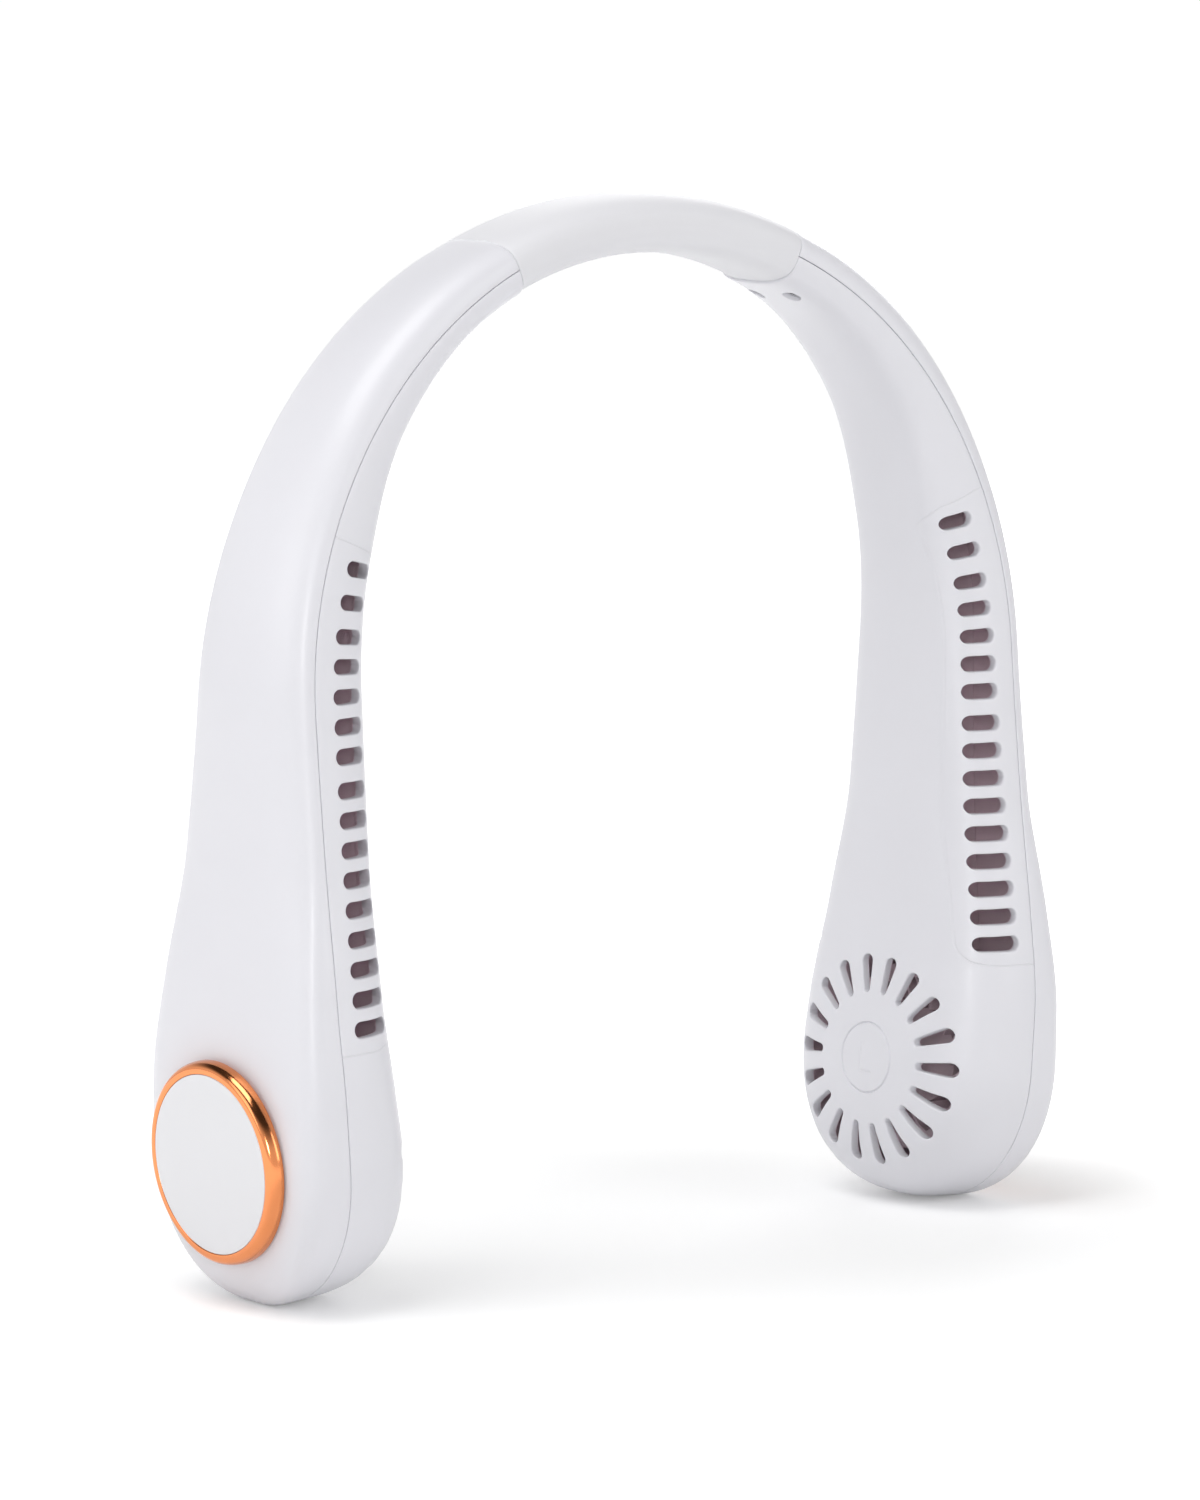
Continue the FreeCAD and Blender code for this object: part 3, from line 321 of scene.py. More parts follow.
class MeshPile:
    """Points and faces of one closed piece, gathered as whole arrays in millimetres."""

    def __init__(self) -> None:
        """Start an empty pile."""
        self.points: list[Array] = []
        self.marks: list[Array] = []
        self.hollows: list[Array] = []
        self.faces: list[Array] = []
        self.count = 0

    def add(self, points: Array, marks: Array | float = FAR_FROM_MARK, hollow: bool = False) -> Array:
        """Add points.

        Args:
            points: coordinates on the last axis, in any layout.
            marks: distance of each point from the witness line.
            hollow: whether the points lie on the surface of the hollow.

        Returns:
            The points' numbers, in the same layout.
        """
        layout = points.shape[:-1]
        numbers = np.arange(self.count, self.count + math.prod(layout)).reshape(layout)
        self.points.append(points.reshape(-1, 3))
        self.marks.append(np.broadcast_to(marks, layout).ravel())
        self.hollows.append(np.full(numbers.size, float(hollow)))
        self.count += numbers.size
        return numbers

    def quads(self, numbers: Array, keep: Array | None = None, flip: bool = False) -> None:
        """Join the neighbours of a grid of point numbers by four-sided faces.

        Args:
            numbers: grid of point numbers.
            keep: which cells of the grid get a face; all of them if left out.
            flip: turn the faces over.
        """
        sides = [numbers[:-1, :-1], numbers[:-1, 1:], numbers[1:, 1:], numbers[1:, :-1]]
        corners = np.stack(sides, axis=-1)
        chosen = corners.reshape(-1, 4) if keep is None else corners[keep]
        self.faces.append(chosen[:, ::-1] if flip else chosen)

    def tube(self, loops: Array) -> None:
        """Join closed loops of numbers, one row each, by four-sided faces."""
        self.quads(np.concatenate([loops, loops[:, :1]], axis=1))

    def cap(self, loop: Array, centre: int, flip: bool = False) -> None:
        """Close a loop of point numbers with triangles to its centre."""
        self.fan(np.append(loop, loop[0]), centre, flip)

    def fan(self, run: Array, centre: int, flip: bool = False) -> None:
        """Join a run of point numbers to a centre by triangles.

        Args:
            run: point numbers in order.
            centre: number of the centre point.
            flip: turn the faces over.
        """
        corners = np.stack([run[:-1], run[1:], np.full(len(run) - 1, centre)], axis=-1)
        self.faces.append(corners[:, ::-1] if flip else corners)

    @staticmethod
    def outwards(points: Array, corners: Array, starts: Array, sizes: Array) -> Array:
        """Corners of all faces in the order in which they point outwards.

        The sign of the enclosed volume, the sum of the tetrahedra between the faces and the
        origin, says whether each face's corners have to be read backwards.

        Args:
            points: coordinates.
            corners: point numbers of all faces, one face after the other.
            starts: where each face starts.
            sizes: how many corners each face has.

        Returns:
            The corners as they were, or with each face turned over.
        """
        first, second, third = (points[corners[starts + step]] for step in range(3))
        last = points[corners[starts + sizes - 1]]
        near = np.cross(first, second) * third
        far = np.cross(first, third) * last * (sizes == 4)[:, None]
        if near.sum() + far.sum() >= 0:
            return corners
        owner = np.repeat(np.arange(len(sizes)), sizes)
        return corners[2 * starts[owner] + sizes[owner] - 1 - np.arange(len(corners))]

    def piece(self, name: str, arm: Arm = Arm.LEFT, sharp: float = SHARP_ANGLE) -> bpy.types.Object:
        """Turn the pile into an object at the origin, with its faces outwards.

        Points that no face uses are dropped.

        Args:
            name: the piece's name.
            arm: RIGHT mirrors the points across the middle plane.
            sharp: edges that turn by more than this many degrees stay sharp.

        Returns:
            The new object.
        """
        points = np.concatenate(self.points) * MM
        points[:, 0] *= arm.value
        attributes = {WITNESS: np.concatenate(self.marks), HOLLOW: np.concatenate(self.hollows)}
        corners = np.concatenate([face.ravel() for face in self.faces])
        used, corners = np.unique(corners, return_inverse=True)
        points = points[used]
        sizes = np.concatenate([np.full(len(face), face.shape[1]) for face in self.faces])
        starts = np.concatenate([[0], np.cumsum(sizes)[:-1]])
        corners = self.outwards(points, corners, starts, sizes)
        mesh = bpy.data.meshes.new(name)
        mesh.vertices.add(len(points))
        mesh.vertices.foreach_set("co", points.astype(np.float32).ravel())
        mesh.loops.add(len(corners))
        mesh.loops.foreach_set("vertex_index", corners.astype(np.int32))
        mesh.polygons.add(len(sizes))
        mesh.polygons.foreach_set("loop_start", starts.astype(np.int32))
        mesh.polygons.foreach_set("use_smooth", np.ones(len(sizes), bool))
        mesh.update(calc_edges=True)
        mesh.validate()
        mesh.set_sharp_from_angle(angle=math.radians(sharp))
        for word, values in attributes.items():
            attribute = mesh.attributes.new(word, "FLOAT", "POINT")
            attribute.data.foreach_set("value", values[used].astype(np.float32))
        made = bpy.data.objects.new(name, mesh)
        bpy.context.scene.collection.objects.link(made)
        LOG.info("%s: %d points, %d faces", name, len(points), len(sizes))
        return made


@dataclass(frozen=True)
class ArmForm:
    """Outer form of the left arm in millimetres.

    A parting line runs up from the tip: straight and leaning, through a gentle bend, upright, and
    round an arc to the band. At each distance along it lies a section whose two halves are
    superellipses, deep outwards and inwards by their own amounts.
    """

    overall_height: float = 236.0
    parting_radius: float = 100.0
    lean_angle: float = 4.0
    lean_start_height: float = 66.0
    lean_bend_radius: float = 300.0
    band_half_angle: float = 23.5
    paddle_width: float = 60.0
    paddle_outer_depth: float = 12.0
    paddle_inner_depth: float = 24.4
    tip_length: float = 33.0
    band_width: float = 26.0
    band_outer_depth: float = 6.5
    end_inner_depth: float = 7.2
    band_inner_step: float = 0.6
    wall: float = 2.0
    seam_gap: float = 0.2
    section_power: float = 3.0
    leg_outer_power: float = 2.3
    leg_inner_power: float = 3.5
    paddle_outer_power: float = 5.0
    paddle_front_power: float = 2.8
    paddle_back_power: float = 4.4
    tip_width_power: float = 2.0
    tip_depth_power: float = 3.2
    tip_first_angle: float = 8.0
    station_shares: tuple[float, ...] = (0.0, 0.06, 0.17, 0.30, 0.465, 0.626, 0.788, 0.95, 1.0)
    width_shares: tuple[float, ...] = (1.0, 0.995, 0.838, 0.603, 0.376, 0.22, 0.106, 0.02, 0.0)
    outer_depth_shares: tuple[float, ...] = (1.0, 0.86, 0.56, 0.25, 0.11, 0.14, 0.20, 0.08, 0.0)
    inner_depth_shares: tuple[float, ...] = (1.0, 0.93, 0.762, 0.64, 0.65, 0.512, 0.163, 0.0, 0.0)
    leg_power_shares: tuple[float, ...] = (0.0, 0.05, 0.35, 0.8, 1.0, 1.0, 0.7, 0.15, 0.0)
    paddle_power_shares: tuple[float, ...] = (1.0, 1.0, 0.62, 0.0, 0.0, 0.0, 0.0, 0.0, 0.0)
    deepest_share: float = 0.985
    least_across_share: float = 1e-4

    @property
    def ground(self) -> float:
        """How far the whole fan was lowered on to the floor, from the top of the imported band."""
        return self.overall_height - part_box("neck_band")[1].z / MM

    @property
    def lean(self) -> float:
        """Lean of the paddle in radians."""
        return math.radians(self.lean_angle)

    @property
    def arc_height(self) -> float:
        """Height of the arc's centre."""
        return self.overall_height - self.band_outer_depth - self.parting_radius

    @property
    def paddle_run(self) -> float:
        """Length of the straight leaning run."""
        return (self.lean_start_height - self.lean_bend_radius * math.sin(self.lean)) / math.cos(self.lean)

    @property
    def leg_start(self) -> float:
        """Distance at which the upright leg starts."""
        return self.paddle_run + self.lean_bend_radius * self.lean

    @property
    def leg_top(self) -> float:
        """Distance at which the arc starts."""
        return self.leg_start + self.arc_height - self.lean_start_height

    @property
    def joint(self) -> float:
        """Distance at which the arm meets the band."""
        return self.leg_top + self.parting_radius * math.radians(90 - self.band_half_angle)

    def spine(self, distance: Array) -> tuple[Array, Array, Array]:
        """Parting line: a lean, an arc of the bend radius, a plumb run and an arc of the parting radius.

        Args:
            distance: distances from the tip.

        Returns:
            The line's x and z, and its turn from the upright in radians.
        """
        radius, bend = self.parting_radius, self.lean_bend_radius
        bend_turn = self.lean - (distance - self.paddle_run) / bend
        arc_turn = (self.leg_top - distance) / radius
        zones = [distance <= self.paddle_run, distance <= self.leg_start, distance <= self.leg_top]
        back = self.paddle_run - distance
        lean_x = -radius + bend * (1 - math.cos(self.lean)) + back * math.sin(self.lean)
        lean_z = self.lean_start_height - bend * math.sin(self.lean) - back * math.cos(self.lean)
        bend_x = -radius + bend * (1 - np.cos(bend_turn))
        bend_z = self.lean_start_height - bend * np.sin(bend_turn)
        leg_z = self.lean_start_height + distance - self.leg_start
        still = np.zeros_like(distance)
        x = np.select(zones, [lean_x, bend_x, still - radius], -radius * np.cos(arc_turn))
        z = np.select(zones, [lean_z, bend_z, leg_z], self.arc_height - radius * np.sin(arc_turn))
        turn = np.select(zones, [still + self.lean, bend_turn, still], arc_turn)
        return x, z, turn

    def share(self, table: tuple[float, ...], distance: Array) -> Array:
        """Smooth monotone curve through a table of shares.

        Each span is a cubic with the slopes of its ends, where a slope is the harmonic mean of the
        two neighbouring rises, and zero at both ends of the table.

        Args:
            table: shares at the stations.
            distance: distances from the tip.

        Returns:
            The share at each distance.
        """
        knots, values = np.array(self.station_shares), np.array(table)
        steps = np.diff(knots)
        rises = np.diff(values) / steps
        both = rises[:-1] * rises[1:]
        slopes = np.zeros_like(values)
        slopes[1:-1] = np.divide(2 * both, rises[:-1] + rises[1:], out=np.zeros_like(both), where=both > 0)
        place = np.clip((distance - self.tip_length) / (self.joint - self.tip_length), 0.0, 1.0)
        span = np.clip(np.searchsorted(knots, place, side="right") - 1, 0, len(steps) - 1)
        t = (place - knots[span]) / steps[span]
        start = values[span] * (1 + 2 * t) * (1 - t) ** 2 + slopes[span] * steps[span] * t * (1 - t) ** 2
        end = values[span + 1] * t * t * (3 - 2 * t) + slopes[span + 1] * steps[span] * t * t * (t - 1)
        return start + end

    def sizes(self, distance: Array, inset: Array | float) -> tuple[Array, Array, Array]:
        """Half width, outer depth and inner depth of the section, drawn in by an inset.

        Args:
            distance: distances from the tip.
            inset: how far the surface lies under the outer one.

        Returns:
            The three sizes, rounded off towards the tip.
        """
        width, outer, inner = (
            end + (paddle - end) * self.share(table, distance)
            for end, paddle, table in (
                (self.band_width, self.paddle_width, self.width_shares),
                (self.band_outer_depth, self.paddle_outer_depth, self.outer_depth_shares),
                (self.end_inner_depth, self.paddle_inner_depth, self.inner_depth_shares)))
        past = np.clip((self.tip_length - distance) / (self.tip_length - inset), 0.0, 1.0)
        round_width = (1 - past ** self.tip_width_power) ** (1 / self.tip_width_power)
        round_depth = (1 - past ** self.tip_depth_power) ** (1 / self.tip_depth_power)
        return (width / 2 - inset) * round_width, (outer - inset) * round_depth, (inner - inset) * round_depth

    def depth(self, half: Half, distance: Array, inset: Array | float) -> Array:
        """Depth of one half of the section."""
        return self.sizes(distance, inset)[2 if half is Half.INNER else 1]

    def power(self, half: Half, edge: Edge, distance: Array) -> Array:
        """Power of one corner of the section: the band's, drawn to the leg's and the paddle's by shares.

        Args:
            half: side of the parting line.
            edge: edge that the corner lies on.
            distance: distances from the tip.

        Returns:
            The power at each distance.
        """
        if half is Half.OUTER:
            leg, paddle = self.leg_outer_power, self.paddle_outer_power
        else:
            leg = self.leg_inner_power
            paddle = self.paddle_front_power if edge is Edge.FRONT else self.paddle_back_power
        to_leg = (leg - self.section_power) * self.share(self.leg_power_shares, distance)
        to_paddle = (paddle - self.section_power) * self.share(self.paddle_power_shares, distance)
        return self.section_power + to_leg + to_paddle

    def power_on(self, half: Half, front: Array, distance: Array) -> Array:
        """Power of the section at points that lie on the front side or the back side."""
        return np.where(front, self.power(half, Edge.FRONT, distance), self.power(half, Edge.BACK, distance))

    @staticmethod
    def reach(angle: Array, power: Array | float) -> Array:
        """Radius of the unit superellipse: the power sum of cosine and sine, to minus one over the power."""
        return (np.abs(np.cos(angle)) ** power + np.abs(np.sin(angle)) ** power) ** (-1 / power)

    def flat_section(self, half: Half, angle: Array, distance: Array,
                     inset: Array | float) -> tuple[Array, Array]:
        """Places across and inwards of a section: size times reach, times cosine across and sine inwards.

        Args:
            half: side of the parting line.
            angle: angle round the half section, from the front seam to the back seam.
            distance: distances from the tip.
            inset: how far the surface lies under the outer one.

        Returns:
            The places along Y, and the depths from the parting line.
        """
        reach = self.reach(angle, self.power_on(half, angle < math.pi / 2, distance))
        across = -self.sizes(distance, inset)[0] * reach * np.cos(angle)
        return across, self.depth(half, distance, inset) * reach * np.sin(angle)

    def lift(self, distance: Array, inward: Array, across: Array) -> Array:
        """Point beside the parting line, given inwards and across at a distance along it.

        Args:
            distance: distances from the tip.
            inward: offsets towards the wearer.
            across: offsets along Y.

        Returns:
            Coordinates on the last axis.
        """
        distance, inward, across = np.broadcast_arrays(distance, inward, across)
        x, z, turn = self.spine(distance)
        return np.stack([x + inward * np.cos(turn), across, z + inward * np.sin(turn) - self.ground], axis=-1)

    def surface(self, half: Half, angle: Array, distance: Array, inset: Array | float) -> Array:
        """Point of a section, lifted on to the parting line.

        Args:
            half: side of the parting line.
            angle: angle round the half section, from the front seam to the back seam.
            distance: distances from the tip.
            inset: how far the surface lies under the outer one.

        Returns:
            Coordinates on the last axis.
        """
        angle, distance, inset = np.broadcast_arrays(angle, distance, inset)
        across, depth = self.flat_section(half, angle, distance, inset)
        return self.lift(distance, half.value * depth, across)

    def angle_at_depth(self, half: Half, edge: Edge, depth: Array, distance: Array,
                       inset: Array | float) -> Array:
        """Angle from an edge's own seam at which the superellipse is as deep as asked.

        The depth's share of the full depth is taken to the power and divided by one less itself,
        and the root of that is the angle's tangent.

        Args:
            half: side of the parting line.
            edge: edge that the angle is counted from.
            depth: depths from the parting line.
            distance: distances from the tip.
            inset: how far the surface lies under the outer one.

        Returns:
            The angles in radians.
        """
        power = self.power(half, edge, distance)
        share = np.clip(depth / self.depth(half, distance, inset), 0.0, self.deepest_share) ** power
        return np.arctan((share / (1 - share)) ** (1 / power))

    def angle_at_across(self, half: Half, across: Array, distance: Array, inset: Array | float) -> Array:
        """Angle from the front seam at which the superellipse lies as far across as asked, found alike.

        Args:
            half: side of the parting line.
            across: places along Y.
            distance: distances from the tip.
            inset: how far the surface lies under the outer one.

        Returns:
            The angles in radians.
        """
        power = self.power_on(half, across < 0, distance)
        part = np.abs(across) / self.sizes(distance, inset)[0]
        share = np.clip(part, self.least_across_share, 1.0) ** power
        front = np.arctan(((1 - share) / share) ** (1 / power))
        return np.where(across < 0, front, math.pi - front)

    def about_fan(self, along: Array, radius: Array, angle: Array) -> Array:
        """Point about the fan axis: a place along it, a radius, and an angle from Y towards the arm.

        Args:
            along: places along the axis from the parting line.
            radius: distances from the axis.
            angle: angles about the axis.

        Returns:
            Coordinates on the last axis.
        """
        along, radius, angle = np.broadcast_arrays(along, radius, angle)
        x, z, turn = self.spine(np.full(along.shape, self.tip_length))
        up = radius * np.sin(angle)
        across = radius * np.cos(angle)
        return np.stack([
            x + along * np.cos(turn) - up * np.sin(turn), across,
            z + along * np.sin(turn) + up * np.cos(turn) - self.ground], axis=-1)


@dataclass(frozen=True)
class Capsule:
    """Rounded slot on a flat chart: two round ends on a straight centre line."""

    start: Pair
    end: Pair
    start_radius: float
    end_radius: float

    def outline(self, around: Array, offset: float) -> Array:
        """Outline that faces a surrounding loop.

        From each surrounding point, drop to the nearest point of the centre line, then step back
        towards the surrounding point by the radius there plus the offset.

        Args:
            around: surrounding points on the chart.
            offset: how far outside the slot the outline lies.

        Returns:
            One outline point for each surrounding point.
        """
        start = np.array(self.start)
        axis = np.array(self.end) - start
        share = np.clip((around - start) @ axis / max(float(axis @ axis), TINY), 0.0, 1.0)[..., None]
        middle = start + share * axis
        away = around - middle
        away = away / np.linalg.norm(away, axis=-1, keepdims=True)
        radius = self.start_radius + (self.end_radius - self.start_radius) * share
        return middle + (radius + offset) * away


@dataclass(frozen=True)
class EdgeChart:
    """Chart of an arm's edge: depth from the parting line, and distance along the arm. Pulled along Y."""

    form: ArmForm
    edge: Edge
    draft: float = math.radians(7.0)

    def flat(self, angle: Array, distance: Array, inset: float) -> Array:
        """Chart place of points of the section."""
        return np.stack([self.form.flat_section(Half.INNER, angle, distance, inset)[1], distance], axis=-1)

    def angle(self, flat: Array, inset: float) -> Array:
        """Angle round the section at chart places, kept near the outer angle under the surface.

        Args:
            flat: chart places.
            inset: how far the surface lies under the outer one.

        Returns:
            The angles from the front seam, in radians.
        """
        made = self.form.angle_at_depth(Half.INNER, self.edge, flat[..., 0], flat[..., 1], inset)
        if inset > 0:
            outside = self.form.angle_at_depth(Half.INNER, self.edge, flat[..., 0], flat[..., 1], 0.0)
            made = np.minimum(made, outside + self.draft)
        return made if self.edge is Edge.FRONT else math.pi - made

    def distance(self, flat: Array) -> Array:
        """Distance along the arm at chart places."""
        return flat[..., 1]

    def pull(self, flat: Array) -> Array:
        """Direction in which the mould's core points, into the arm."""
        return np.array([0.0, -float(self.edge.value), 0.0])


@dataclass(frozen=True)
class ControlChart(EdgeChart):
    """Chart of the control board's own plane: place along it and depth, on the arc's back edge."""

    control_rise: float = 22.373

    @property
    def control_distance(self) -> float:
        """Distance of the board's middle from the tip."""
        return self.form.leg_top + self.control_rise

    def flat(self, angle: Array, distance: Array, inset: float) -> Array:
        """Chart place of points of the section: the arc's points, laid on the plane square to its middle.

        Args:
            angle: angles round the section.
            distance: distances from the tip.
            inset: how far the surface lies under the outer one.

        Returns:
            Places along the board and depths, on the last axis.
        """
        depth = self.form.flat_section(Half.INNER, angle, distance, inset)[1]
        turn = (distance - self.control_distance) / self.form.parting_radius
        radius = self.form.parting_radius - depth
        return np.stack([radius * np.sin(turn), self.form.parting_radius - radius * np.cos(turn)], axis=-1)

    def edge_flat(self, flat: Array) -> Array:
        """The same places as depth and distance along the arm: their polar form about the arc's centre.

        Args:
            flat: chart places.

        Returns:
            Places on the edge's own chart.
        """
        rise = self.form.parting_radius - flat[..., 1]
        turn = np.arctan2(flat[..., 0], rise)
        depth = self.form.parting_radius - np.hypot(flat[..., 0], rise)
        return np.stack([depth, self.control_distance + turn * self.form.parting_radius], axis=-1)

    def angle(self, flat: Array, inset: float) -> Array:
        """Angle round the section at chart places."""
        return EdgeChart(self.form, self.edge).angle(self.edge_flat(flat), inset)

    def distance(self, flat: Array) -> Array:
        """Distance along the arm at chart places."""
        return self.edge_flat(flat)[..., 1]


@dataclass(frozen=True)
class FaceChart:
    """Chart of an arm's inner face: across along Y, and distance along the arm. Pulled outwards."""

    form: ArmForm

    def flat(self, angle: Array, distance: Array, inset: float) -> Array:
        """Chart place of points of the section."""
        return np.stack([self.form.flat_section(Half.INNER, angle, distance, inset)[0], distance], axis=-1)

    def angle(self, flat: Array, inset: float) -> Array:
        """Angle round the section at chart places."""
        return self.form.angle_at_across(Half.INNER, flat[..., 0], flat[..., 1], inset)

    def distance(self, flat: Array) -> Array:
        """Distance along the arm at chart places."""
        return flat[..., 1]

    def pull(self, flat: Array) -> Array:
        """Direction in which the mould's core points, into the arm."""
        turn = self.form.spine(flat[..., 1])[2]
        return np.stack([-np.cos(turn), np.zeros_like(turn), -np.sin(turn)], axis=-1)


Chart = FaceChart | EdgeChart


@dataclass(frozen=True)
class Outlets:
    """Row of outlet slots on the front edge, counted from the lowest."""

    form: ArmForm
    count: int = 16
    lowest: float = 62.9
    pitch: float = 6.3
    wide_extra: float = 0.9
    wide_after: tuple[int, ...] = (9, 14, 15)
    line_depth: float = 9.2
    height: float = 3.6
    margins: Pair = (4.2, 5.4)
    lengths: Pair = (10.8, 7.6)
    clear: float = 1.3
    level_share: float = 0.4

    @property
    def distances(self) -> Array:
        """Distance of each slot from the tip, evenly spaced on the slots' own line.

        On the arc, that line is shorter than the parting line, so each step along the arm grows.

        Returns:
            The distances, from the lowest slot up.
        """
        numbers = np.arange(self.count)
        extra = np.isin(numbers, self.wide_after).cumsum() * self.wide_extra
        run = self.lowest + self.pitch * numbers + extra
        round_part = np.maximum(run - self.form.leg_top, 0.0)
        return run - round_part + round_part / (1 - self.line_depth / self.form.parting_radius)

    @property
    def bounds(self) -> Array:
        """Distances that part the slots: half way between neighbours.

        Returns:
            One more distance than there are slots.
        """
        places = self.distances
        ends = [places[0] - self.pitch / 2, places[-1] + self.pitch / 2]
        return np.concatenate([ends[:1], (places[1:] + places[:-1]) / 2, ends[1:]])

    def depths(self, distance: Array) -> tuple[Array, Array]:
        """Depth at which the slots start and end, drawn evenly from the lowest slot's to the uppermost's.

        Args:
            distance: distances from the tip.

        Returns:
            The starts and the ends.
        """
        share = np.interp(distance, self.distances, np.linspace(0.0, 1.0, self.count))
        start = self.margins[0] + (self.margins[1] - self.margins[0]) * share
        return start, start + self.lengths[0] + (self.lengths[1] - self.lengths[0]) * share

    def capsule(self, distance: float) -> Capsule:
        """The slot at a distance, on the edge's chart.

        On the arc, the slot is turned back towards level by a share of the arm's own turn.

        Args:
            distance: the slot's distance from the tip.

        Returns:
            The slot.
        """
        start, end = (float(depth) for depth in self.depths(np.array(distance)))
        radius = self.height / 2
        turn = max(distance - self.form.leg_top, 0.0) / self.form.parting_radius
        middle, reach = (start + end) / 2, (end - start) / 2 - radius
        rise = reach * math.tan(self.level_share * turn)
        return Capsule((middle - reach, distance - rise), (middle + reach, distance + rise), radius, radius)


@dataclass(frozen=True)
class SideLetter:
    """Plain sunk letter in the hub that says on which side of the neck the arm is worn."""

    arm: Arm
    height: float = 6.4
    width: float = 3.6
    bowl_share: float = 0.5
    bowl_steps: int = 9
    knee_share: float = 0.45
    stroke_width: float = 0.34
    stroke_slope: float = 0.16
    depth: float = 0.14

    def strokes(self) -> list[tuple[Array, Array]]:
        """Starts and ends of the strokes, in shares of width and height from the lower left corner.

        The bowl of the second letter is half an ellipse from the top of the stem to its middle.

        Returns:
            Starts and ends of each line's strokes.
        """
        stem = np.array([[0.0, 1.0], [0.0, 0.0]])
        if self.arm is Arm.RIGHT:
            lines = [np.concatenate([stem, [[1.0, 0.0]]])]
        else:
            turn = np.linspace(math.pi / 2, -math.pi / 2, self.bowl_steps)
            centre = (1 + self.bowl_share) / 2
            bowl = np.stack([np.cos(turn), centre + (1 - centre) * np.sin(turn)], axis=-1)
            lines = [stem, bowl, np.array([[self.knee_share, self.bowl_share], [1.0, 0.0]])]
        return [(line[:-1], line[1:]) for line in lines]

    def sink(self, across: Array, along: Array) -> Array:
        """How deep the letter lies at places on the face: full on a stroke, then a straight slope out."""
        beside = self.distance(across, along) - self.stroke_width / 2
        return self.depth * np.clip(1 - beside / self.stroke_slope, 0.0, 1.0)

    def distance(self, across: Array, along: Array) -> Array:
        """Distance of places on the face from the nearest stroke.

        Each place is dropped on to each stroke's line, kept between its ends.

        Args:
            across: places along Y from the hub's middle.
            along: places along the arm from the hub's middle.

        Returns:
            The distances, with the letter reading upright from the wearer's side.
        """
        place = np.stack([self.arm.value * across, along], axis=-1)[..., None, :]
        size = np.array([self.width, self.height])
        starts, ends = (np.concatenate(side) * size - size / 2 for side in zip(*self.strokes()))
        run = ends - starts
        share = ((place - starts) * run).sum(axis=-1) / np.maximum((run * run).sum(axis=-1), TINY)
        foot = starts + np.clip(share, 0.0, 1.0)[..., None] * run
        return np.linalg.norm(place - foot, axis=-1).min(axis=-1)


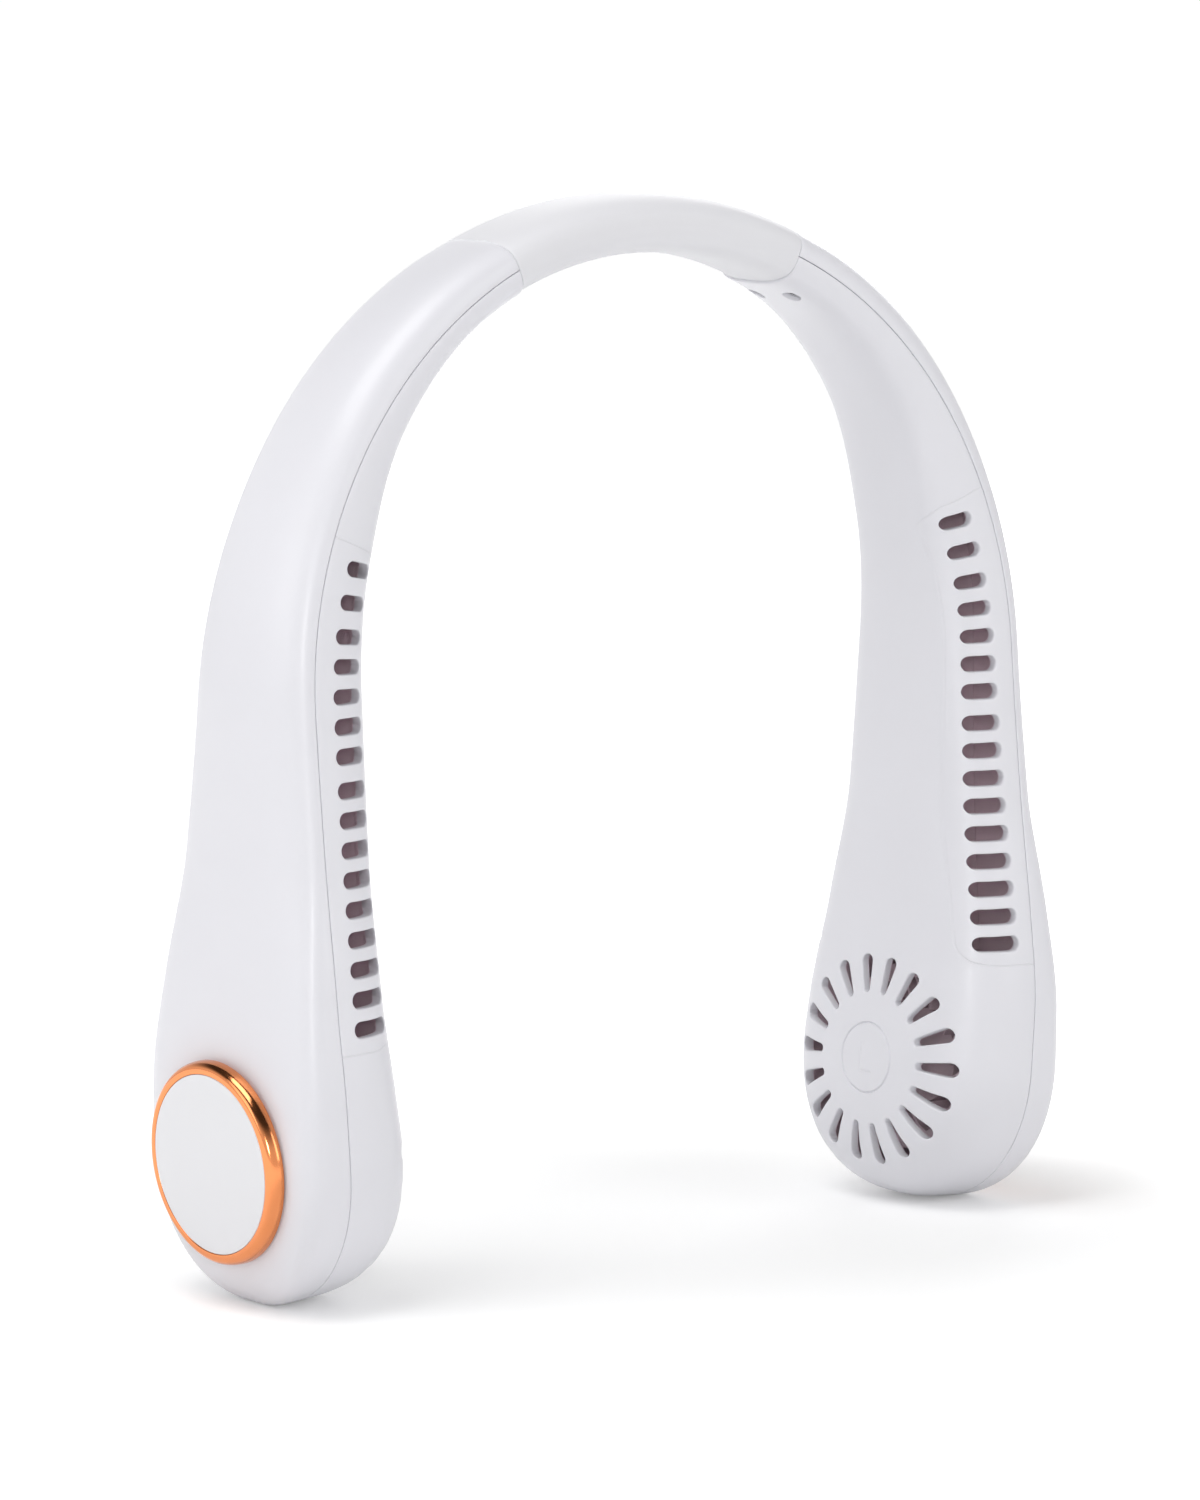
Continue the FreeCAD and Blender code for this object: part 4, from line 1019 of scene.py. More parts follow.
@dataclass
class Casing:
    """One half of an arm's casing: a closed wall between the outer form and the hollow.

    Rows of the grid run along the arm and columns round the half section, from the front seam to
    the back seam. The first and last columns round the seam's edges over, and the last rows round
    the edge at the band over.
    """

    form: ArmForm
    half: Half
    edge_round: float = 0.16
    end_round: float = 0.35
    edge_steps: int = 3
    tip_rows: int = 9
    paddle_start: float = 5.0
    paddle_rows: int = 54
    slot_rows: int = 8
    neck_rows: int = 60
    plain_columns: int = 72

    def __post_init__(self) -> None:
        """Lay out the rows and the columns and add both surfaces to the pile."""
        self.pile = MeshPile()
        self.outlets = Outlets(self.form)
        self.distance, self.row_inset = self.rows()
        tip = self.form.tip_length
        under_tip = tip - (tip - self.form.wall) * (tip - self.distance) / tip
        self.under_distance = np.where(self.distance < tip, under_tip, self.distance)
        self.angle, column_inset = self.columns(self.distance, self.row_inset, self.form.seam_gap)
        wall = np.full(len(self.distance), self.form.wall)
        self.under_angle = self.columns(self.under_distance, wall, 0.0)[0]
        inset = self.row_inset[:, None] + column_inset
        self.outside = self.put(self.angle, self.distance[:, None], inset)
        self.inside = self.put(self.under_angle, self.under_distance[:, None], self.form.wall)
        self.keep = np.ones(np.array(self.outside.shape) - 1, bool)
        self.keep_inside = self.keep.copy()

    def rows(self) -> tuple[Array, Array]:
        """Distances and insets of the rows.

        Returns:
            Distances that are close together round the tip, the paddle's face and the slots, and
            the inset that rounds the edge at the band over.
        """
        tip = self.form.tip_length
        last_turn = math.acos((tip - self.paddle_start) / tip)
        turns = np.linspace(math.radians(self.form.tip_first_angle), last_turn, self.tip_rows)
        bounds = self.outlets.bounds
        end = self.form.joint - self.end_round
        shares = np.arange(1, self.slot_rows + 1) / self.slot_rows
        plain = np.concatenate([
            tip - tip * np.cos(turns),
            np.linspace(self.paddle_start, bounds[0], self.paddle_rows + 1)[1:],
            (bounds[:-1, None] + np.diff(bounds)[:, None] * shares).ravel(),
            np.linspace(bounds[-1], end, self.neck_rows + 1)[1:]])
        turns = np.linspace(0.0, math.pi / 2, self.edge_steps + 1)[1:]
        inset = np.concatenate([np.zeros(len(plain)), self.end_round * (1 - np.cos(turns))])
        return np.concatenate([plain, end + self.end_round * np.sin(turns)]), inset

    def columns(self, distance: Array, inset: Array, gap: float) -> tuple[Array, Array]:
        """Angles and insets of the columns.

        Args:
            distance: distance of each row.
            inset: inset of each row.
            gap: width of the seam, which is open outside and shut at the hollow.

        Returns:
            Angles as rows by columns, and the inset that rounds the seam's edges over.
        """
        turns = np.linspace(math.pi / 2, 0.0, self.edge_steps + 1)
        rim_depth = gap / 2 + self.edge_round * (1 - np.sin(turns))
        rim_inset = self.edge_round * (1 - np.cos(turns))
        front, back = (
            self.form.angle_at_depth(self.half, edge, rim_depth, distance[:, None], inset[:, None])
            for edge in Edge)
        stops = [front[:, -1], *self.stops(distance, inset), math.pi - back[:, -1]]
        spans = [
            np.linspace(start, end, count + 1, axis=1)[:, 1:]
            for start, end, count in zip(stops, stops[1:], self.counts())
        ]
        angle = np.concatenate([front, *spans, math.pi - back[:, -2::-1]], axis=1)
        middle = np.zeros(angle.shape[1] - 2 * len(rim_inset))
        return angle, np.concatenate([rim_inset, middle, rim_inset[::-1]])

    def stops(self, distance: Array, inset: Array) -> list[Array]:
        """Angles between the seams at which the spacing of the columns changes."""
        return []

    def counts(self) -> list[int]:
        """How many columns each stretch between stops has."""
        return [self.plain_columns]

    def mark(self, angle: Array, distance: Array) -> Array | float:
        """Distance of points from the witness line."""
        return FAR_FROM_MARK

    def put(self, angle: Array, distance: Array, inset: Array | float, shift: Array | float = 0.0) -> Array:
        """Add points of the form to the pile.

        Args:
            angle: angles round the section.
            distance: distances along the arm.
            inset: how far under the outer surface they lie.
            shift: extra shift in space.

        Returns:
            The points' numbers.
        """
        points = self.form.surface(self.half, angle, distance, inset) + shift
        mark = self.mark(*np.broadcast_arrays(angle, distance))
        return self.pile.add(points, mark, hollow=np.isscalar(inset) and inset == self.form.wall)

    def close(self) -> None:
        """Add the faces of both surfaces, the seam's edges, the end at the band and the tip."""
        pile, outside, inside = self.pile, self.outside, self.inside
        pile.quads(outside, self.keep)
        pile.quads(inside, self.keep_inside, flip=True)
        pile.quads(np.stack([inside[:, 0], outside[:, 0]], axis=1))
        pile.quads(np.stack([outside[:, -1], inside[:, -1]], axis=1))
        pile.quads(np.stack([outside[-1], inside[-1]]))
        inward = self.half.value * self.form.seam_gap / 2
        tips = np.array([self.distance[0], self.under_distance[0]])
        outer_tip, inner_tip = pile.add(self.form.lift(tips, np.full(2, inward), np.zeros(2)))
        pile.fan(outside[0], outer_tip, flip=True)
        pile.fan(inside[0], inner_tip)
        pile.faces.append(np.array([
            [outer_tip, outside[0, 0], inside[0, 0], inner_tip],
            [outside[0, -1], outer_tip, inner_tip, inside[0, -1]]]))

    @staticmethod
    def loop(first_row: int, last_row: int, first: int, last: int) -> tuple[Array, Array]:
        """Closed loop round a block of a grid.

        Args:
            first_row: the block's first row.
            last_row: its last row.
            first: its first column.
            last: its last column.

        Returns:
            The loop's rows and columns.
        """
        wide, tall = last - first, last_row - first_row
        rows = [
            np.full(wide, first_row), np.arange(first_row, last_row),
            np.full(wide, last_row), np.arange(last_row, first_row, -1)]
        columns = [
            np.arange(first, last), np.full(tall, last),
            np.arange(last, first, -1), np.full(tall, first)]
        return np.concatenate(rows), np.concatenate(columns)


@dataclass
class OuterCasing(Casing):
    """Outer half of an arm's casing, plain but for its rounded edges."""

    half: Half = Half.OUTER


@dataclass
class InnerCasing(Casing):
    """Inner half of an arm's casing, with outlets, intake, groove and screw recesses as real openings."""

    half: Half = Half.INNER
    arm: Arm = Arm.LEFT
    lip_round: float = 0.4
    lip_steps: int = 4
    collar_steps: int = 3
    seam_columns: int = 3
    slot_columns: int = 12
    face_columns: int = 49
    back_columns: int = 14
    face_end_angle: float = math.radians(149.6)
    face_lead_columns: int = 7
    deepest_share: float = 0.965
    intake_count: int = 18
    intake_steps: int = 12
    intake_phase: int = 3
    intake_rows: int = 10
    intake_first_corner: float = math.radians(225.0)
    intake_radii: Pair = (15.3, 24.7)
    intake_widths: Pair = (1.8, 3.4)
    intake_zone: Pair = (14.2, 25.2)
    groove_radius: float = 8.1
    groove_width: float = 0.6
    groove_depth: float = 0.4
    groove_rings: int = 9
    rim_rings: int = 4
    hub_rings: int = 56
    hollow_ring_share: float = 0.6
    hollow_hub_radius: float = 1.6
    screw_setback: float = 8.0
    screw_spacing: float = 12.0
    recess_radius: float = 2.2
    recess_depth: float = 2.2
    recess_block: float = 3.5
    witness_margin: float = 2.6
    witness_round: float = 5.0
    witness_overrun_share: float = 0.8
    witness_back_slope: float = 2.0

    def stops(self, distance: Array, inset: Array) -> list[Array]:
        """Edges of the outlet strip, and the far side of the paddle's round face.

        Args:
            distance: distance of each row.
            inset: inset of each row.

        Returns:
            The angles of the three stops, by rows.
        """
        start, end = self.outlets.depths(distance)
        deepest = self.deepest_share * self.form.depth(self.half, distance, inset)
        low, high = (
            self.form.angle_at_depth(self.half, Edge.FRONT, depth, distance, inset)
            for depth in (start - self.outlets.clear, np.minimum(end + self.outlets.clear, deepest)))
        return [low, high, np.full(len(distance), self.face_end_angle)]

    def counts(self) -> list[int]:
        """How many columns each stretch between stops has."""
        return [self.seam_columns, self.slot_columns, self.face_columns, self.back_columns]

    def mark(self, angle: Array, distance: Array) -> Array:
        """Signed distance from a rounded frame round the outlets that is open at the seam.

        The frame is a box in depth and distance, so the distance is the length of what lies
        outside the box shrunk by its corner radius, less that radius.

        Args:
            angle: angles round the section.
            distance: distances from the tip.

        Returns:
            The signed distances, below zero inside the frame.
        """
        front = np.minimum(angle, math.pi / 2)
        depth = self.form.flat_section(Half.INNER, front, distance, 0.0)[1]
        places = self.outlets.distances
        past_front = self.witness_back_slope * (angle - front)
        beside = depth - self.outlets.depths(distance)[1] - self.witness_margin + past_front
        middle = (places[0] + places[-1]) / 2
        half_length = (places[-1] - places[0]) / 2 + self.outlets.pitch * self.witness_overrun_share
        beyond = np.abs(distance - middle) - half_length
        wide, tall = beside + self.witness_round, beyond + self.witness_round
        outside = np.hypot(np.maximum(wide, 0.0), np.maximum(tall, 0.0))
        return outside + np.minimum(np.maximum(wide, tall), 0.0) - self.witness_round

    def nearest_block(self, chart: Chart, low: Pair, high: Pair) -> Block:
        """Block of the grid nearest to a rectangle of a chart.

        Args:
            chart: chart that the rectangle is given on.
            low: its lowest corner.
            high: its highest corner.

        Returns:
            First and last row, first and last column.
        """
        corners = np.array([low, high, (low[0], high[1]), (high[0], low[1])])
        distances, angles = chart.distance(corners), chart.angle(corners, 0.0)
        rows = [int(np.abs(self.distance - place).argmin()) for place in (distances.min(), distances.max())]
        middle = self.angle[(rows[0] + rows[1]) // 2]
        columns = [int(np.abs(middle - place).argmin()) for place in (angles.min(), angles.max())]
        return rows[0], rows[1], columns[0], columns[1]

    def cut(self, chart: Chart, block: Block, through: bool = True) -> tuple[Array, Array, Array]:
        """Leave out a block's own faces.

        Args:
            chart: chart of the opening that takes their place.
            block: first and last row, first and last column.
            through: whether the hollow's surface is opened too.

        Returns:
            Rows and columns of the block's loop, and its places on the chart.
        """
        first_row, last_row, first, last = block
        self.keep[first_row:last_row, first:last] = False
        if through:
            self.keep_inside[first_row:last_row, first:last] = False
        rows, columns = self.loop(*block)
        return rows, columns, chart.flat(self.angle[rows, columns], self.distance[rows], 0.0)

    def open_slot(self, chart: Chart, capsule: Capsule, loop: Array, around: Array, under_loop: Array,
                  under_angle: Array, under_distance: Array, lip_round: float) -> None:
        """Fill a block round a slot: collar, rounded lip, wall and the hollow's own collar.

        The collar slides from the block's loop to the outline, the lip is a quarter circle that
        turns into the mould's pull, and the wall runs to the hollow's surface.

        Args:
            chart: chart that the slot is drawn on.
            capsule: the slot.
            loop: numbers of the block's loop on the outer surface.
            around: the same loop on the chart.
            under_loop: numbers of the loop on the hollow's surface.
            under_angle: angles of that loop.
            under_distance: distances of that loop.
            lip_round: radius of the rounded lip.
        """
        numbers = self.rounded_lip(chart, capsule, around, lip_round)
        edge = capsule.outline(around, 0.0)
        share = np.linspace(0.0, 1.0, self.collar_steps + 1)[:-1, None]
        start_angle, start_distance = chart.angle(edge, self.form.wall), chart.distance(edge)
        angle = start_angle + (under_angle - start_angle) * share
        distance = start_distance + (under_distance - start_distance) * share
        wall = self.put(angle, distance, self.form.wall)
        self.pile.tube(np.concatenate([loop[None], numbers, wall, under_loop[None]]))

    def rounded_lip(self, chart: Chart, capsule: Capsule, around: Array, lip_round: float) -> Array:
        """Rings of a slot's collar and lip.

        Args:
            chart: chart that the slot is drawn on.
            capsule: the slot.
            around: the block's loop on the chart.
            lip_round: radius of the rounded lip.

        Returns:
            Numbers as rings by points.
        """
        lip = capsule.outline(around, lip_round)
        share = np.linspace(0.0, 1.0, self.collar_steps + 1)[1:, None, None]
        turns = np.linspace(0.0, math.pi / 2, self.lip_steps + 1)[1:]
        bead = np.stack([capsule.outline(around, lip_round * (1 - math.sin(turn))) for turn in turns])
        flat = np.concatenate([around + (lip - around) * share, bead])
        sink = np.concatenate([np.zeros(self.collar_steps), lip_round * (1 - np.cos(turns))])
        shift = sink[:, None, None] * chart.pull(flat)
        return self.put(chart.angle(flat, 0.0), chart.distance(flat), 0.0, shift)

    def open_block(self, chart: Chart, capsule: Capsule, block: Block, lip_round: float) -> None:
        """Open a slot in a block of the main grid.

        Args:
            chart: chart that the slot is drawn on.
            capsule: the slot.
            block: first and last row, first and last column.
            lip_round: radius of the rounded lip.
        """
        rows, columns, around = self.cut(chart, block)
        self.open_slot(chart, capsule, self.outside[rows, columns], around, self.inside[rows, columns],
                       self.under_angle[rows, columns], self.under_distance[rows], lip_round)

    def open_outlets(self) -> None:
        """Open the row of outlet slots, one block of the grid each."""
        chart = EdgeChart(self.form, Edge.FRONT)
        first_row = self.tip_rows + self.paddle_rows - 1
        first = self.edge_steps + self.seam_columns
        for number, distance in enumerate(self.outlets.distances):
            start = first_row + number * self.slot_rows
            block = (start, start + self.slot_rows, first, first + self.slot_columns)
            self.open_block(chart, self.outlets.capsule(float(distance)), block, self.lip_round)

    def sink_screw_recesses(self) -> None:
        """Sink the two blind round recesses beside the band."""
        chart = FaceChart(self.form)
        place = self.form.joint - self.screw_setback
        floor = float(self.form.depth(Half.INNER, np.array(place), 0.0)) - self.recess_depth
        reach = self.recess_block
        for across in (-self.screw_spacing / 2, self.screw_spacing / 2):
            low, high = (across - reach, place - reach), (across + reach, place + reach)
            rows, columns, around = self.cut(chart, self.nearest_block(chart, low, high), through=False)
            capsule = Capsule((across, place), (across, place), self.recess_radius, self.recess_radius)
            rings = self.rounded_lip(chart, capsule, around, self.lip_round / 2)
            edge = capsule.outline(around, 0.0)
            bottom = self.pile.add(self.form.lift(edge[:, 1], np.full(len(edge), floor), edge[:, 0]))
            self.pile.tube(np.concatenate([self.outside[rows, columns][None], rings, bottom[None]]))
            centre = self.pile.add(self.form.lift(np.array(place), np.array(floor), np.array(across)))
            self.pile.cap(bottom, int(centre))

    def open_intake(self) -> None:
        """Open the round face of the paddle.

        A collar runs from a block of the grid, a quarter of the ring's steps on each side, to a
        circle. Inside it lie the ring of slots, the groove and the hub.
        """
        chart = FaceChart(self.form)
        first = self.edge_steps + self.seam_columns + self.face_lead_columns
        wide = self.intake_count * self.intake_steps // 4
        block = (self.tip_rows - 1, self.tip_rows - 1 + self.paddle_rows, first, first + wide)
        rows, columns, around = self.cut(chart, block)
        under = chart.flat(self.under_angle[rows, columns], self.under_distance[rows], self.form.wall)
        turns = self.intake_first_corner + 2 * math.pi * np.arange(len(rows)) / len(rows)
        circle = self.polar(np.array([self.intake_zone[1]]), turns)[0]
        ring = self.slide(chart, self.outside[rows, columns], around, circle, 0.0)
        under_ring = self.slide(chart, self.inside[rows, columns], under, circle, self.form.wall)
        turns = np.roll(turns, -self.intake_phase)
        flat = self.polar(np.linspace(*self.intake_zone[::-1], self.intake_rows + 1), turns)
        zone = self.put(chart.angle(flat[1:], 0.0), chart.distance(flat[1:]), 0.0)
        zone = np.concatenate([np.roll(ring, -self.intake_phase)[None], zone])
        under_angle = chart.angle(flat, self.form.wall)
        under_zone = self.put(under_angle[1:], chart.distance(flat[1:]), self.form.wall)
        under_zone = np.concatenate([np.roll(under_ring, -self.intake_phase)[None], under_zone])
        self.open_intake_slots(chart, flat, zone, under_zone, under_angle)
        self.close_hub(chart, zone[-1], under_zone[-1], turns)

    def slide(self, chart: FaceChart, loop: Array, start: Array, end: Array, inset: float) -> Array:
        """Collar whose rings slide on the chart from one loop to another by even shares.

        Args:
            chart: chart of the inner face.
            loop: numbers of the first loop.
            start: its places on the chart.
            end: places of the last ring.
            inset: nought for the outer surface, or the wall for the hollow's.

        Returns:
            Numbers of the last ring.
        """
        share = np.linspace(0.0, 1.0, self.collar_steps + 2)[1:, None, None]
        flat = start + (end - start) * share
        rings = self.put(chart.angle(flat, inset), chart.distance(flat), inset)
        loops = np.concatenate([loop[None], rings])
        self.pile.tube(loops[::-1] if inset > 0 else loops)
        return rings[-1]

    def polar(self, radius: Array, turn: Array) -> Array:
        """Chart places at radii and turns about the fan axis, radii by turns."""
        spoke = radius[:, None]
        return np.stack([spoke * np.cos(turn), self.form.tip_length + spoke * np.sin(turn)], axis=-1)

    def open_intake_slots(self, chart: FaceChart, flat: Array, zone: Array, under_zone: Array,
                          under_angle: Array) -> None:
        """Open the tapered slots, one sector of the ring each.

        Args:
            chart: chart of the inner face.
            flat: chart places of the ring, radii by turns.
            zone: numbers of the ring on the outer surface.
            under_zone: numbers of the ring on the hollow's surface.
            under_angle: angles of the ring on the hollow's surface.
        """
        near, wide = self.intake_widths[0] / 2, self.intake_widths[1] / 2
        radii = np.array([self.intake_radii[0] + near, self.intake_radii[1] - wide])
        rows, steps = self.loop(0, self.intake_rows, 0, self.intake_steps)
        for sector in range(self.intake_count):
            first = sector * self.intake_steps
            columns = np.arange(first, first + self.intake_steps + 1) % zone.shape[1]
            spots = rows, columns[steps]
            middle = flat[0, columns[self.intake_steps // 2]] - (0.0, self.form.tip_length)
            turn = np.array([math.atan2(middle[1], middle[0])])
            start, end = self.polar(radii, turn)[:, 0]
            capsule = Capsule(tuple(start), tuple(end), near, wide)
            self.open_slot(chart, capsule, zone[spots], flat[spots], under_zone[spots], under_angle[spots],
                           flat[spots][:, 1], self.lip_round)

    def close_hub(self, chart: FaceChart, ring: Array, under_ring: Array, turns: Array) -> None:
        """Close the middle of the face, with the shallow groove round it.

        Args:
            chart: chart of the inner face.
            ring: numbers of the innermost ring on the outer surface.
            under_ring: the same on the hollow's surface.
            turns: turns of both rings about the fan axis.
        """
        edge = self.intake_zone[0]
        lip = self.groove_radius + self.groove_width
        across = np.linspace(-1.0, 1.0, self.groove_rings)
        rim = np.linspace(edge, lip, self.rim_rings + 1)[1:]
        groove = self.groove_radius - across * self.groove_width / 2
        hub = np.linspace(groove[-1], 0.0, self.hub_rings + 1)[1:-1]
        dip = self.groove_depth * np.cos(across * math.pi / 2) ** 2
        sink = np.concatenate([np.zeros_like(rim), dip, np.zeros_like(hub)])
        flat = self.polar(np.concatenate([rim, groove, hub]), turns)
        letter = SideLetter(self.arm).sink(flat[..., 0], flat[..., 1] - self.form.tip_length)
        shift = (sink[:, None] + letter)[..., None] * chart.pull(flat)
        rings = self.put(chart.angle(flat, 0.0), chart.distance(flat), 0.0, shift)
        self.pile.tube(np.concatenate([ring[None], rings]))
        under = self.polar(np.array([edge * self.hollow_ring_share, self.hollow_hub_radius]), turns)
        under_rings = self.put(chart.angle(under, self.form.wall), chart.distance(under), self.form.wall)
        self.pile.tube(np.concatenate([under_ring[None], under_rings])[::-1])
        middle = np.full(2, self.form.tip_length)
        depths = self.form.depth(Half.INNER, middle, np.array([0.0, self.form.wall]))
        centre, under_centre = self.pile.add(self.form.lift(middle, depths, np.zeros(2)))
        self.pile.cap(rings[-1], centre)
        self.pile.cap(under_rings[-1], under_centre, flip=True)


@dataclass(frozen=True)
class Controls:
    """Openings for the charging socket and the push button on the back edge of one arm."""

    form: ArmForm
    depth: float = 4.0
    socket_place: float = -11.0
    socket_size: Pair = (8.94, 3.26)
    socket_clearance: float = 0.2
    button_place: float = 8.0
    button_size: Pair = (10.0, 5.0)
    button_clearance: float = 0.25
    lip_round: float = 0.3
    block_margin: float = 1.2
    seam_margin: float = 0.5

    def open(self, casing: InnerCasing) -> None:
        """Open both places in a casing.

        Args:
            casing: inner casing of the arm that has the controls.
        """
        chart = ControlChart(self.form, Edge.BACK)
        openings = (
            (self.socket_place, self.socket_size, self.socket_clearance),
            (self.button_place, self.button_size, self.button_clearance),
        )
        for place, (length, width), clearance in openings:
            radius = width / 2 + clearance
            reach = length / 2 - width / 2
            capsule = Capsule((place - reach, self.depth), (place + reach, self.depth), radius, radius)
            wide, tall = radius + self.block_margin, reach + radius + self.block_margin
            low = (place - tall, max(self.depth - wide, self.seam_margin))
            high = (place + tall, self.depth + wide)
            casing.open_block(chart, capsule, casing.nearest_block(chart, low, high), self.lip_round)


@dataclass(frozen=True)
class PaddleCover:
    """Copper ring and white disc on the outside of a paddle, turned about the fan axis."""

    form: ArmForm
    stand: float = 3.2
    disc_radius: float = 19.6
    disc_thickness: float = 1.6
    disc_edge_round: float = 0.2
    foot_radius: float = 21.0
    shoulder_radius: float = 22.3
    shoulder_depth: float = 3.4
    shoulder_round: float = 0.3
    crown_radius: float = 20.3
    lip_inner_round: float = 0.2
    buried: float = 0.6
    flank_power: float = 2.4
    flank_steps: int = 25
    edge_stride: int = 4
    disc_gap: float = 0.05
    floor_gap: float = 0.4
    ring_sharp: float = 50.0
    disc_rings: int = 12
    disc_edge_steps: int = 6
    disc_middle: float = 1.0
    turns: int = 192

    @property
    def angles(self) -> Array:
        """Angles about the fan axis."""
        return np.linspace(0.0, 2 * math.pi, self.turns, endpoint=False)

    @property
    def face(self) -> float:
        """Place of the outer face along the fan axis."""
        return -self.form.paddle_outer_depth - self.stand

    def shell_place(self, radius: float) -> Array:
        """Place of the casing's outer face along the axis: the superellipse's depth at every angle.

        Args:
            radius: distance from the fan axis.

        Returns:
            The places by angles.
        """
        across = radius * np.cos(self.angles)
        distance = self.form.tip_length + radius * np.sin(self.angles)
        half_width, outer, _ = self.form.sizes(distance, 0.0)
        power = self.form.power(Half.OUTER, Edge.FRONT, distance)
        return -outer * (1 - (np.abs(across) / half_width) ** power) ** (1 / power)

    def ring(self, arm: Arm) -> bpy.types.Object:
        """Ring: a foot on the casing, an overhanging shoulder, a superellipse flank, a crown and a bore.

        Args:
            arm: arm that the ring sits on.

        Returns:
            The new piece.
        """
        under = self.face + self.shoulder_depth
        turn = np.linspace(0.0, math.pi / 2, self.flank_steps)
        reach = self.form.reach(turn, self.flank_power)
        flank_radius = self.crown_radius + (self.shoulder_radius - self.crown_radius) * reach * np.cos(turn)
        flank_start = under - self.shoulder_round
        flank_place = flank_start + (self.face - flank_start) * reach * np.sin(turn)
        edge = turn[::self.edge_stride]
        shoulder_radius = self.shoulder_radius - self.shoulder_round * (1 - np.sin(edge[:-1]))
        shoulder_place = under - self.shoulder_round * (1 - np.cos(edge[:-1]))
        bore = self.disc_radius + self.disc_gap
        inner_radius = bore + self.lip_inner_round * (1 - np.sin(edge))
        inner_place = self.face + self.lip_inner_round * (1 - np.cos(edge))
        floor = self.face + self.disc_thickness + self.floor_gap
        radius = np.concatenate([[self.foot_radius], shoulder_radius, flank_radius, inner_radius, [bore]])
        place = np.concatenate([[under], shoulder_place, flank_place, inner_place, [floor]])
        foot = self.shell_place(self.foot_radius) + self.buried
        places = np.concatenate([foot[None], np.repeat(place[:, None], self.turns, axis=1)])
        radii = np.concatenate([[self.foot_radius], radius])
        pile = MeshPile()
        numbers = pile.add(self.form.about_fan(places, radii[:, None], self.angles))
        back = pile.add(self.form.about_fan(np.maximum(foot, floor), bore, self.angles))
        pile.tube(np.concatenate([numbers, back[None], numbers[:1]]))
        return pile.piece(f"{arm.word}_copper_ring", arm, self.ring_sharp)

    def disc(self, arm: Arm) -> bpy.types.Object:
        """Disc: a flat face with a rounded edge, and a plain back.

        Args:
            arm: arm that the disc sits on.

        Returns:
            The new piece.
        """
        turn = np.linspace(0.0, math.pi / 2, self.disc_edge_steps + 1)[1:]
        edge = self.disc_radius - self.disc_edge_round
        back = self.face + self.disc_thickness
        radius = np.concatenate([
            np.linspace(self.disc_middle, edge, self.disc_rings),
            edge + self.disc_edge_round * np.sin(turn),
            [self.disc_radius, self.disc_middle]])
        place = np.concatenate([
            np.full(self.disc_rings, self.face),
            self.face + self.disc_edge_round * (1 - np.cos(turn)),
            [back, back]])
        pile = MeshPile()
        numbers = pile.add(self.form.about_fan(place[:, None], radius[:, None], self.angles))
        ends = pile.add(self.form.about_fan(place[[0, -1]], np.zeros(2), np.zeros(2)))
        pile.tube(numbers)
        pile.cap(numbers[0], ends[0], flip=True)
        pile.cap(numbers[-1], ends[1])
        return pile.piece(f"{arm.word}_white_disc", arm)


